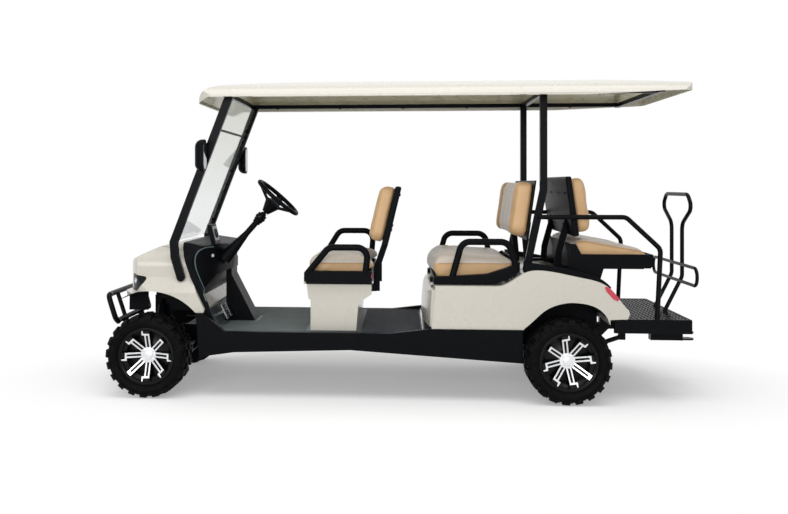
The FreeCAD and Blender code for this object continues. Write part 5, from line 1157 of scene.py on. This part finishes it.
DASH_EDGE = (
    (-1.320, 1.002), (-1.361, 1.000), (-1.398, 0.978), (-1.418, 0.934),
    (-1.414, 0.866), (-1.389, 0.785), (-1.361, 0.703), (-1.338, 0.640),
)


def dash_trim():
    """The light strip round each end of the dash, laid on its surface."""
    hit = surface("dashboard", "front_cowl")
    build = Build()
    for side in (-1, 1):
        line = []
        for point in curve_through([(x, 0.0, z) for x, z in DASH_EDGE], 5):
            place, _ = hit((point.x, side * SIDE_RAY_Y, point.z), (0.0, -side, 0.0))
            if place:
                line.append(place + Vector((0.0, side * 0.0005, 0.0)))
        build.tube(line, 0.0045, 10)
    build.piece("dash_edge_strips", materials=(TEAL,))


COLUMN_LEAN = math.radians(41.5)
COLUMN_WAY = Vector((-math.sin(COLUMN_LEAN), 0.0, -math.cos(COLUMN_LEAN)))
HAND_WHEEL = Vector((-0.885, -0.262, 1.344))
DASH_RAY_X = -0.9
POD_Z = 1.088
TICK_COUNT = 9
SWITCH_YS = (-0.06, -0.105, -0.15)
SWITCH_Z = 0.94
LOCK_Y = -0.40
# round forms as (radius, height)
DIAL = ((0.033, 0.002), (0.033, 0.008), (0.030, 0.009), (0.029, 0.005))
LOCK = ((0.014, -0.002), (0.014, 0.004), (0.012, 0.006), (0.009, 0.006))
HORN_PAD = ((0.046, -0.006), (0.047, 0.001), (0.044, 0.006), (0.030, 0.010), (0.012, 0.0115))
HORN_BUTTON = ((0.026, 0.008), (0.026, 0.0125), (0.022, 0.014), (0.003, 0.0145))
HORN_DROP = 0.048
COVER_TURNS_DEG = (90.0, 210.0, 330.0)
COVER_SHARES = (0.0, 0.25, 0.5, 0.75, 1.0)
COVER_START = 0.036
COVER_LENGTH = 0.130
COVER_DROP = 0.062
COVER_RISE = 0.058
COVER_HALF_WIDTH = 0.048
COVER_TAPER = 0.026
COVER_HALF_THICKNESS = 0.004


def gauges():
    """The pod's face with its dial, and the switches beside the column."""
    hit = surface("dashboard")
    panel = Build()
    dials = Build()
    matrix = facing(*hit((DASH_RAY_X, HAND_WHEEL.y, POD_Z), AHEAD))
    seat = matrix @ Matrix.Translation((0.0, 0.0, -0.001))
    panel.plate(seat, corner_rounded(0.142, 0.104, 0.016), 0.004, 0.0015)
    dials.turned(matrix, DIAL, 36)
    for a in angles(TICK_COUNT, math.radians(20.0)):
        tick = matrix @ Matrix.Rotation(a, 4, "Z") @ Matrix.Translation((0.0235, 0.0, 0.0045))
        dials.plate(tick, rectangle(0.006, 0.0012), 0.0012, 0.0003, 1)
    needle = matrix @ Matrix.Rotation(math.radians(140.0), 4, "Z") @ Matrix.Translation((0.011, 0.0, 0.005))
    dials.plate(needle, rectangle(0.022, 0.0016), 0.0015, 0.0004, 1)
    for y in SWITCH_YS:
        rocker = facing(*hit((DASH_RAY_X, y, SWITCH_Z), AHEAD))
        dials.plate(rocker, corner_rounded(0.026, 0.040, 0.004), 0.003, 0.001)
        tilt = Matrix.Translation((0.0, 0.0, 0.002)) @ Matrix.Rotation(math.radians(9.0), 4, "X")
        dials.plate(rocker @ tilt, corner_rounded(0.018, 0.030, 0.003), 0.005, 0.0015)
    lock = facing(*hit((DASH_RAY_X, LOCK_Y, SWITCH_Z), AHEAD))
    dials.turned(lock, LOCK, 24, 1)
    dials.plate(lock @ Matrix.Translation((0.0, 0.0, 0.005)), rectangle(0.003, 0.012), 0.006, 0.001, 1)
    panel.piece("pod_face", materials=(TEAL,))
    dials.piece("dash_controls", materials=(MATERIALS["black_plastic"], MACHINED))


def steering_details():
    """The horn pad and the flat covers of the hand wheel's three spokes."""
    pad = Build()
    top = facing(HAND_WHEEL + COLUMN_WAY * HORN_DROP, -COLUMN_WAY)
    pad.turned(top, HORN_PAD, 36)
    pad.turned(top, HORN_BUTTON, 30)
    pad.piece("horn_pad", body="hand_wheel")
    spokes = Build()
    across = COLUMN_WAY.cross(Vector((0.0, 1.0, 0.0))).normalized()
    for turn in COVER_TURNS_DEG:
        angle = math.radians(turn)
        out = across * math.cos(angle) + Vector((0.0, math.sin(angle), 0.0))
        side = out.cross(COLUMN_WAY)
        rings = []
        for share in COVER_SHARES:
            middle = HAND_WHEEL + out * (COVER_START + COVER_LENGTH * share)
            middle += COLUMN_WAY * (COVER_DROP - COVER_RISE * share)
            half = side * (COVER_HALF_WIDTH - COVER_TAPER * share)
            skin = COLUMN_WAY * COVER_HALF_THICKNESS
            rings.append([middle + half * u + skin * v for u, v in ((1, -1), (1, 1), (-1, 1), (-1, -1))])
        spokes.rings(rings)
    spokes.piece("wheel_spokes", body="hand_wheel")


PEDAL_X = -1.297
PEDAL_YS = (-0.300, -0.160)


def pedal_ribs():
    """Grip bars across the pedal plates."""
    build = Build()
    slope = Vector((-0.061, 0.0, 0.136)).normalized()
    normal = Vector((slope.z, 0.0, -slope.x))
    for y in PEDAL_YS:
        foot = Vector((PEDAL_X, y, FLOOR_Z)) + slope * 0.07 + normal * 0.0775
        for index in range(-2, 3):
            matrix = facing(foot + slope * (0.02 * index), normal, slope)
            build.plate(matrix, corner_rounded(0.056, 0.009, 0.003), 0.003, 0.001)
    build.piece("pedal_ribs")


SCREEN_RAY_X = -0.6
FOLD_Z = 1.815
CLIP_Y = 0.478
CLIP_ZS = (1.16, 1.55, 1.86)


def screen_trim():
    """The fold strip across the windscreen and the clips that hold it to the posts."""
    hit = surface("windshield")
    build = Build()
    clips = Build()
    middle, normal = hit((SCREEN_RAY_X, 0.0, FOLD_Z), AHEAD)
    for offset in (0.0007, -0.0057):
        matrix = facing(middle + normal * offset, normal if offset > 0 else -normal)
        build.plate(matrix, rectangle(0.99, 0.016), 0.002, 0.0008)
    for z in CLIP_ZS:
        for side in (-1, 1):
            place, normal = hit((SCREEN_RAY_X, side * CLIP_Y, z), AHEAD)
            clips.plate(facing(place, normal), corner_rounded(0.040, 0.024, 0.005), 0.006, 0.002)
            clips.bolt(place + normal * 0.006, normal, 0.0045)
    build.piece("screen_fold", materials=(MATERIALS["battery_case"],))
    clips.piece("screen_clips")


HOOD_RAY_Z = 1.6
HOOD_SEAM_STEPS = 28
HOOD_SEAM_START = (-1.905, 0.33)
HOOD_SEAM_RUN = (0.36, 0.10)
HOOD_SEAM_RADIUS = 0.0016
HOOD_SEAM_SUNK = 0.0004


def hood_seams():
    """Narrow dark joints along the sides of the hood."""
    build = Build()
    hit = surface("front_cowl")
    for side in (-1, 1):
        line = []
        for step in range(HOOD_SEAM_STEPS + 1):
            x = HOOD_SEAM_START[0] + HOOD_SEAM_RUN[0] * step / HOOD_SEAM_STEPS
            y = side * (HOOD_SEAM_START[1] + HOOD_SEAM_RUN[1] * step / HOOD_SEAM_STEPS)
            place, normal = hit((x, y, HOOD_RAY_Z), DOWN)
            line.append(place - normal * HOOD_SEAM_SUNK)
        build.tube(line, HOOD_SEAM_RADIUS, 8)
    build.piece("hood_seams", materials=(MATERIALS["battery_case"],))


def seat_reflectors():
    """Red reflectors on the rear face of the front tray."""
    build = Build()
    for side in (-1, 1):
        matrix = facing((-0.2142, side * 0.468, 0.812), REARWARD)
        build.plate(matrix, corner_rounded(0.090, 0.034, 0.008), 0.006, 0.002)
    build.piece("seat_reflectors", "red_lens", body="front_bench")


SIDES = (-SIDE_RAY_Y, SIDE_RAY_Y)
# node, places of the rays as x, y and z, look, head radius
BOLTS = (
    ("sills", (-1.12, -0.72, -0.30, 0.12, 0.52), SIDES, (0.405,), "side", 0.007),
    ("roof_frame", (-1.0, -0.5, 0.0, 0.5, 1.3), (-0.516, 0.516), (1.0,), "up", 0.007),
    ("deck", (1.50, 1.64, 1.78), SIDES, (0.50,), "side", 0.007),
    ("deck", (2.3,), (-0.48, -0.24, 0.24, 0.48), (0.50,), "front", 0.007),
    ("front_back_shell", (0.3,), (-0.42, -0.2, 0.2, 0.42), (1.12, 1.36), "front", 0.006),
    ("middle_back_shell", (0.99,), (-0.40, -0.15, 0.15, 0.40), (1.16, 1.38), "front", 0.006),
    ("rear_back_shell", (0.97,), (-0.40, -0.15, 0.15, 0.40), (1.16, 1.38), "rear", 0.006),
    ("rear_posts", (0.828,), SIDES, (0.90, 0.95), "side", 0.008),
    ("rear_posts", (0.937,), SIDES, (1.99,), "side", 0.007),
    ("front_posts", (-1.52,), SIDES, (0.80,), "side", 0.010),
    ("front_bumper", (-2.3,), (-0.185, 0.185), (0.47,), "rear", 0.009),
)
TRAY_BOLTS = (
    ("front_seat_tray", "front_bench", (-0.60, -0.45, -0.28), 0.812),
    ("middle_seat_tray", "middle_bench", (0.30, 0.45, 0.62), 0.806),
)
TRAY_BOLT_RADIUS = 0.006
LOOKS = {"up": UP, "front": AHEAD, "rear": REARWARD}


def bolt_rows(build, node, xs, ys, zs, look, radius):
    """Heads wherever a row's rays meet the node; a side look runs inwards."""
    hit = surface(node)
    for x, y, z in product(xs, ys, zs):
        way = (0.0, -math.copysign(1.0, y), 0.0) if look == "side" else LOOKS[look]
        place, normal = hit((x, y, z), way)
        if place:
            build.bolt(place, normal, radius)


def bolts():
    """Small heads on the panels and bars, and on the trays of the two benches that lift."""
    build = Build()
    for row in BOLTS:
        bolt_rows(build, *row)
    build.piece("bolt_heads", "black_steel")
    for node, body, xs, z in TRAY_BOLTS:
        build = Build()
        bolt_rows(build, node, xs, SIDES, (z,), "side", TRAY_BOLT_RADIUS)
        build.piece(node + "_bolts", "black_steel", body=body)


# Stage, light and camera
STAGE_REACH = 40.0
SHADOW_STRETCH = (1.0, 1.9, 0.0)
SHADOW_NEAR = 2.0
SHADOW_FAR = 3.1
FLOOR_GLOW = 0.28


def seen_rays(tree):
    """1 for rays from the camera, and for those that reach it by way of metal or glass."""
    path = tree.nodes.new("ShaderNodeLightPath")
    total = path.outputs["Is Camera Ray"]
    for name in ("Is Glossy Ray", "Is Transmission Ray"):
        join = tree.nodes.new("ShaderNodeMath")
        join.operation = "MAXIMUM"
        tree.links.new(total, join.inputs[0])
        tree.links.new(path.outputs[name], join.inputs[1])
        total = join.outputs[0]
    return total


def stage():
    """A white floor that keeps the soft shadow and fades to plain white away from the cart."""
    corners = [(x, y, 0.0) for x, y in rectangle(STAGE_REACH * 2, STAGE_REACH * 2)]
    floor = meshed("stage_floor", corners, [(0, 1, 2, 3)])
    finish = Finish("stage_white", (0.86, 0.86, 0.86), 1.0, {"Specular IOR Level": 0.0})
    glow = finish.node("ShaderNodeEmission", {"Color": (1.0, 1.0, 1.0, 1.0), "Strength": 1.0})
    distance = finish.node("ShaderNodeVectorMath", {0: finish.stretched(SHADOW_STRETCH)}, operation="LENGTH")
    away = finish.ramp(distance.outputs["Value"], SHADOW_NEAR, SHADOW_FAR)
    seen = seen_rays(finish.tree)
    lift = finish.node("ShaderNodeEmission", {"Color": (1.0, 1.0, 1.0, 1.0)})
    finish.link(finish.math("MULTIPLY", seen, FLOOR_GLOW), lift.inputs["Strength"])
    lifted = finish.node("ShaderNodeAddShader")
    finish.link(finish.shader.outputs[0], lifted.inputs[0])
    finish.link(lift.outputs[0], lifted.inputs[1])
    mix = finish.node("ShaderNodeMixShader", {0: finish.math("MULTIPLY", away, seen)})
    finish.link(lifted.outputs[0], mix.inputs[1])
    finish.link(glow.outputs[0], mix.inputs[2])
    finish.link(mix.outputs[0], finish.tree.nodes["Material Output"].inputs["Surface"])
    floor.data.materials.append(finish.material)


def area_light(name, place, target, size, watts):
    data = bpy.data.lights.new(name, "AREA")
    data.shape = "RECTANGLE"
    data.size, data.size_y = size
    data.energy = watts
    light = placed(name, data)
    light.location = place
    light.rotation_euler = (Vector(target) - Vector(place)).to_track_quat("-Z", "Y").to_euler()


WORLD_LEVEL = 0.42
# name, place, target, size, watts
LAMPS = (
    ("key", (0.2, -1.6, 6.8), (0.0, 0.0, 0.8), (7.0, 5.0), 235.0),
    ("fill", (-1.5, -8.5, 2.6), (0.0, 0.0, 1.0), (7.0, 3.0), 230.0),
)


def lights():
    world = bpy.data.worlds.new("studio")
    bpy.context.scene.world = world
    world.use_nodes = True
    tree = world.node_tree
    background = tree.nodes["Background"]
    background.inputs["Color"].default_value = (1.0, 1.0, 1.0, 1.0)
    level_node = tree.nodes.new("ShaderNodeMapRange")
    level_node.inputs["To Min"].default_value = WORLD_LEVEL
    level_node.inputs["To Max"].default_value = 1.0
    tree.links.new(seen_rays(tree), level_node.inputs["Value"])
    tree.links.new(level_node.outputs["Result"], background.inputs["Strength"])
    for row in LAMPS:
        area_light(*row)


def camera():
    data = bpy.data.cameras.new("photo_camera")
    data.sensor_fit = "HORIZONTAL"
    data.sensor_width = SENSOR_WIDTH
    data.lens = FOCAL_PIXELS / PHOTO_WIDTH * SENSOR_WIDTH
    data.shift_x = (PHOTO_WIDTH / 2 - AXIS_PIXEL[0]) / PHOTO_WIDTH
    data.shift_y = (AXIS_PIXEL[1] - PHOTO_HEIGHT / 2) / PHOTO_WIDTH
    view = placed("photo_camera", data)
    yaw = math.radians(CAMERA_YAW_DEG)
    pitch = math.radians(CAMERA_PITCH_DEG)
    ahead = Vector((math.sin(yaw) * math.cos(pitch), math.cos(yaw) * math.cos(pitch), -math.sin(pitch)))
    view.location = CAMERA_PLACE
    view.rotation_euler = ahead.to_track_quat("-Z", "Y").to_euler()
    bpy.context.scene.camera = view


BACK_VINYL = seat_vinyl("back_vinyl", BACK_BORDER_Y)
PIPING = plain("piping_vinyl")
finish_nodes()
for row in CUSHIONS:
    cushion(*row)
for row in BACKS:
    backrest(*row)
wheels()
floor_ribs()
floor_strip()
deck_tread()
mirror_faces()
lamps()
bumper_ends()
arch_liners()
foot_panel()
rear_body_front()
dash_trim()
gauges()
steering_details()
pedal_ribs()
screen_trim()
hood_seams()
seat_reflectors()
bolts()
stage()
lights()
camera()
bpy.context.scene.view_settings.view_transform = "Standard"
